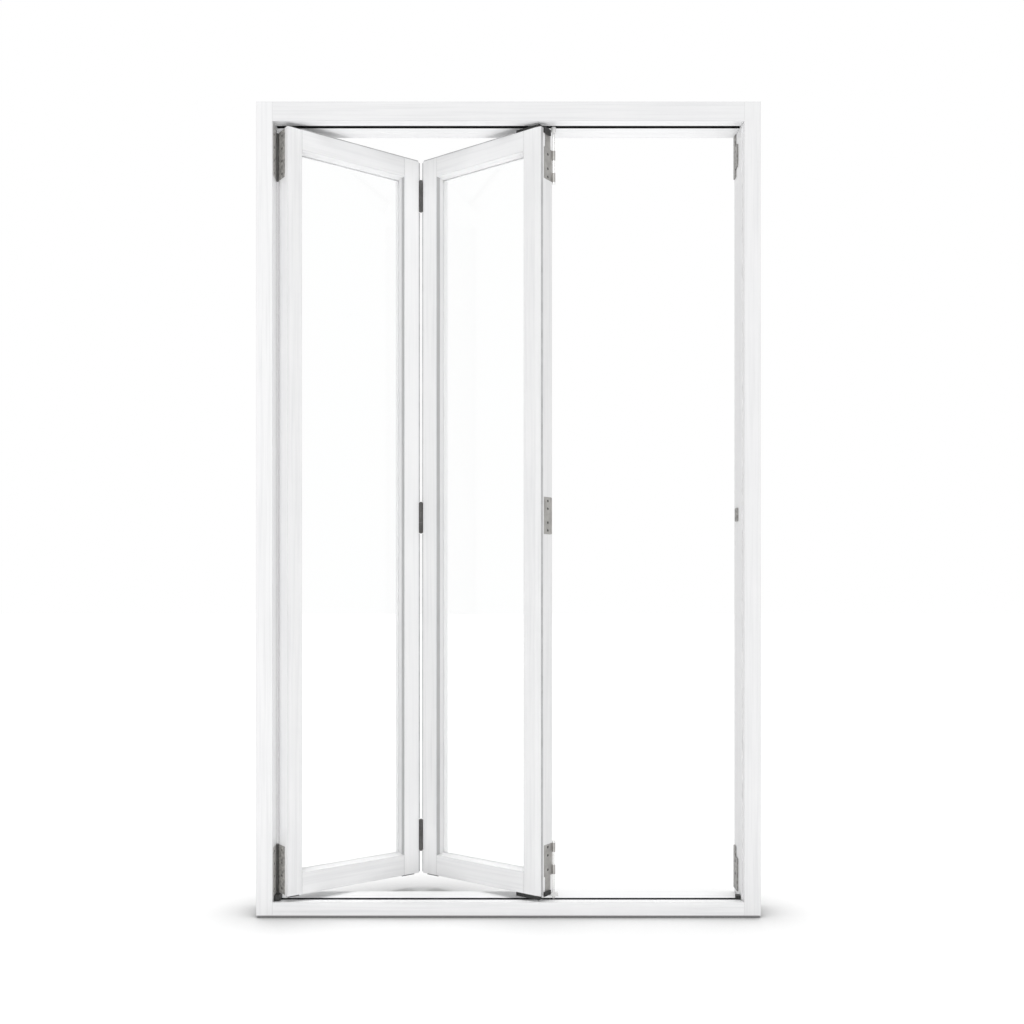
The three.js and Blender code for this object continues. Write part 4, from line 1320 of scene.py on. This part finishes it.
@dataclass
class FreeEdge(Ironmongery):
    """Plates, caps and seal on the free edge of the second leaf."""

    cap_arris: float = 0.6 * MM
    seal_arris: float = 0.4 * MM
    plate_inset: float = 47 * MM
    plate_height: float = 82 * MM
    outer_screw: float = 15.5 * MM
    inner_screw: float = 7.5 * MM
    screw_pair: float = 21.5 * MM
    middle_plate: float = 1034 * MM
    middle_height: float = 96 * MM
    middle_screw: float = 9.6 * MM
    middle_pair: float = 20.2 * MM

    def heights(self) -> list[float]:
        """Works out the heights of every screw on the edge.

        Returns:
            The heights, for the top, bottom and middle plates in turn.
        """
        top = self.layout.leaf_high - self.plate_inset
        bottom = self.layout.leaf_low + self.plate_inset
        inner, pair = self.plate_height - self.inner_screw, self.screw_pair
        found = [top - self.outer_screw, top - inner + pair, top - inner]
        found += [bottom + self.outer_screw, bottom + inner - pair, bottom + inner]
        reach = self.middle_height / 2 - self.middle_screw
        low, high = self.middle_plate - reach, self.middle_plate + reach
        return found + [low, low + self.middle_pair, high - self.middle_pair, high]

    def build(self) -> None:
        """Dresses the plates and puts their screws in."""
        for node in ("top_carrier_plate", "bottom_carrier_plate", "leaf_2_middle_plate"):
            dress(node, Finish.STEEL, self.arris)
        for node in ("leaf_2_top_edge_cap", "leaf_2_bottom_edge_cap"):
            dress(node, Finish.PLASTIC, self.cap_arris, segments=3)
        dress("leaf_2_edge_seal", Finish.GREY_RUBBER, self.seal_arris)
        places = on_plate(
            self.layout.carrier_axis, -self.layout.fold, -self.layout.half_jamb_gap,
            self.layout.plate_middle, self.heights(),
        )
        self.screw.fit("leaf_2_edge_screws", places, Body.SECOND_LEAF)


@dataclass
class Carrier:
    """Trolley in the top track and guide in the sill channel."""

    fine_arris: float = 0.3 * MM
    wheel_arris: float = 0.4 * MM
    block_arris: float = 0.5 * MM

    def build(self) -> None:
        """Dresses the running gear."""
        dress("carrier_body", Finish.STEEL, self.fine_arris)
        for node in ("carrier_bolt", "guide_bolt"):
            dress(node, Finish.ROD, self.fine_arris)
        for node in ("carrier_collar", "guide_foot_block"):
            dress(node, Finish.WHITE_PLASTIC, self.block_arris, segments=3)
        for node in ("carrier_left_wheel_set", "carrier_right_wheel_set", "guide_roller"):
            dress(node, Finish.PLASTIC, self.wheel_arris)


@dataclass
class JambBrackets(Ironmongery):
    """Plates on the right jamb that receive the closing leaf."""

    face: float = 605.7 * MM
    plate_y: float = 35.5 * MM
    middle_y: float = 28 * MM
    plate_heights: tuple[float, ...] = (1977 * MM, 2009 * MM, 83 * MM, 115 * MM)
    middle_heights: tuple[float, ...] = (1030.5 * MM, 1049.5 * MM)

    def build(self) -> None:
        """Dresses the brackets and puts their screws in."""
        for part in ("top_bracket", "middle_plate", "bottom_bracket"):
            dress(f"right_jamb_{part}", Finish.DULL_PLATED, self.arris)
        places = on_plate(Vector(), 0.0, self.face, self.plate_y, self.plate_heights)
        places += on_plate(Vector(), 0.0, self.face, self.middle_y, self.middle_heights)
        self.screw.fit("right_jamb_bracket_screws", places, Body.FRAME)


# Studio


@dataclass(frozen=True)
class SoftLamp:
    """A very soft distant lamp."""

    name: str
    level: float
    direction: Point
    spread: float

    def build(self) -> None:
        """Hangs the lamp so that its light goes in its direction."""
        data = bpy.data.lights.new(self.name, "SUN")
        data.energy = self.level
        data.angle = math.radians(self.spread)
        lamp = bpy.data.objects.new(self.name, data)
        lamp.rotation_euler = Vector(self.direction).to_track_quat("-Z", "Y").to_euler()
        bpy.context.scene.collection.objects.link(lamp)


@dataclass
class Studio:
    """White floor, soft lamps and the camera of the photograph."""

    picture: int = 1024
    focal_pixels: float = 1066.0
    centre_pixels: tuple[float, float] = (503.7, 586.6)
    sensor: float = 36.0
    far_limit: float = 60.0
    camera_place: Point = (-0.0122, -2.81, 0.8488)
    white: Point = (1.0, 1.0, 1.0)
    world_level: float = 0.5
    lamps: tuple[SoftLamp, ...] = (
        SoftLamp("front_softbox", 0.92, (-0.02, 1.0, -0.1), 50.0),
        SoftLamp("ceiling_softbox", 2.4, (0.0, 0.0, -1.0), 16.0),
        SoftLamp("floor_reflector", 1.5, (0.0, 0.12, 1.0), 60.0),
    )
    floor_half: float = 30.0
    floor_depth: float = 0.1
    floor_color: Point = (0.6, 0.6, 0.6)
    floor_lift: float = 0.3
    # Painted shadow on the floor: its colour, and how far it reaches from the door and under the
    # leaves
    painted_shadow_color: Point = (0.1, 0.1, 0.1)
    contact_shadow_reach: float = 30 * MM
    under_shadow_reach: float = 210 * MM
    under_shadow_amount: float = 0.72
    packing: float = 6 * MM
    packing_half: tuple[float, float] = (648 * MM, 57 * MM)
    # Dark grey of the felt, painted shadow under the sill
    felt_shadow_color: Point = (0.24, 0.24, 0.24)

    def build(self) -> None:
        """Makes the camera, the light and the floor."""
        self._camera()
        self._world()
        for lamp in self.lamps:
            lamp.build()
        self._packing()
        self._floor()
        bpy.context.scene.view_settings.view_transform = "Standard"

    def _camera(self) -> None:
        """Places the camera as the photograph was taken."""
        data = bpy.data.cameras.new("photograph_camera")
        data.sensor_width = self.sensor
        data.lens = self.focal_pixels / self.picture * self.sensor
        data.shift_x = (self.picture / 2 - self.centre_pixels[0]) / self.picture
        data.shift_y = (self.centre_pixels[1] - self.picture / 2) / self.picture
        data.clip_end = self.far_limit
        camera = bpy.data.objects.new("photograph_camera", data)
        camera.location = self.camera_place
        camera.rotation_euler = (math.pi / 2, 0.0, 0.0)
        bpy.context.scene.collection.objects.link(camera)
        bpy.context.scene.camera = camera

    def _world(self) -> None:
        """Makes an even white sky that shows pure white to the camera and in reflections."""
        world = bpy.data.worlds.new("white_studio")
        world.use_nodes = True
        net = Wiring(world.node_tree)
        sky = world.node_tree.nodes["Background"]
        net.put(self.white, sky.inputs["Color"])
        net.put(self.world_level, sky.inputs["Strength"])
        bright = net.node("Background", {"Color": self.white})
        path = net.node("LightPath").outputs
        kinds = ("Camera", "Glossy", "Transmission")
        seen = net.largest(*(path[f"Is {kind} Ray"] for kind in kinds))
        mixed = net.blend(seen, sky.outputs[0], bright.outputs[0])
        net.put(mixed, world.node_tree.nodes["World Output"].inputs["Surface"])
        bpy.context.scene.world = world

    def _slab(
        self, name: str, half: tuple[float, float], low: float, high: float,
        material: bpy.types.Material,
    ) -> bpy.types.Object:
        """Adds a level slab that belongs to the studio.

        Args:
            name: The slab's name.
            half: Half its length and half its width.
            low: Height of its underside.
            high: Height of its top.
            material: Its finish.

        Returns:
            The new object.
        """
        build = bmesh.new()
        bmesh.ops.create_cube(build, size=1.0)
        scale = Matrix.Diagonal((2 * half[0], 2 * half[1], high - low, 1.0))
        bmesh.ops.transform(build, verts=build.verts, matrix=scale)
        bmesh.ops.translate(build, verts=build.verts, vec=(0.0, 0.0, (low + high) / 2))
        slab = bpy.data.objects.new(name, plain_mesh(name, build))
        slab.data.materials.append(material)
        bpy.context.scene.collection.objects.link(slab)
        return slab

    def _packing(self) -> None:
        """Lays the strip of dark felt that the sill stands on; its dark grey is painted shadow for
        the line under the sill.
        """
        felt = MaterialBuilder("felt_painted_shadow")
        felt.feed("Base Color", self.felt_shadow_color)
        felt.feed("Roughness", 1.0)
        self._slab("packing_strip", self.packing_half, -self.packing, 0.0, felt.material)

    def _floor(self) -> None:
        """Lays a white floor that keeps the door's shadow, with painted shadow added near the door
        and under the leaves.
        """
        make = MaterialBuilder("white_floor")
        # Painted shadow where the door closes the floor in
        contact_shadow = make.effect(CreaseShade, Distance=self.contact_shadow_reach, Amount=1.0)[0]
        under_shadow = make.effect(CreaseShade, Distance=self.under_shadow_reach, Amount=self.under_shadow_amount)[0]
        shaded = make.largest(contact_shadow, under_shadow)
        make.feed("Base Color", make.mix(shaded, self.floor_color, self.painted_shadow_color))
        make.feed("Roughness", 1.0)
        make.feed("Specular IOR Level", 0.0)
        lift = make.mix(shaded, self.white, self.painted_shadow_color)
        glow = make.node("Emission", {"Color": lift, "Strength": self.floor_lift}).outputs[0]
        dark = make.node("Emission", {"Strength": 0.0}).outputs[0]
        seen = make.blend(make.node("LightPath").outputs["Is Diffuse Ray"], glow, dark)
        total = make.node("AddShader", {0: make.shader.outputs[0], 1: seen}).outputs[0]
        make.put(total, make.surface)
        half = (self.floor_half, self.floor_half)
        low, high = -self.packing - self.floor_depth, -self.packing
        floor = self._slab("studio_floor", half, low, high, make.material)
        floor.visible_shadow = False


def main() -> None:
    """Builds the door set and its studio."""
    logging.basicConfig(level=logging.INFO, format="%(name)s: %(message)s")
    layout = FoldLayout()
    screw = CrossScrew()
    DoorFrame().build()
    PivotHinges(layout, screw).build()
    KneeHinges(layout, screw).build()
    Leaf(
        "leaf_1",
        # The first leaf's meeting stile takes painted light
        {"hanging_stile": Finish.STILE_PAINT, "meeting_stile": Finish.BRIGHT_STILE_PAINT},
        Finish.FIRST_RAIL_PAINT, Body.FIRST_LEAF, layout.first_leaf(),
        side=1.0, top_stop=40 * MM, layout=layout,
    ).build()
    Leaf(
        "leaf_2",
        {"meeting_stile": Finish.STILE_PAINT, "closing_stile": Finish.STILE_PAINT},
        Finish.SECOND_RAIL_PAINT, Body.SECOND_LEAF, layout.second_leaf(),
        side=-1.0, top_stop=84 * MM, layout=layout,
    ).build()
    FreeEdge(layout, screw).build()
    Carrier().build()
    JambBrackets(layout, screw).build()
    Studio().build()


if __name__ == "__main__":
    main()
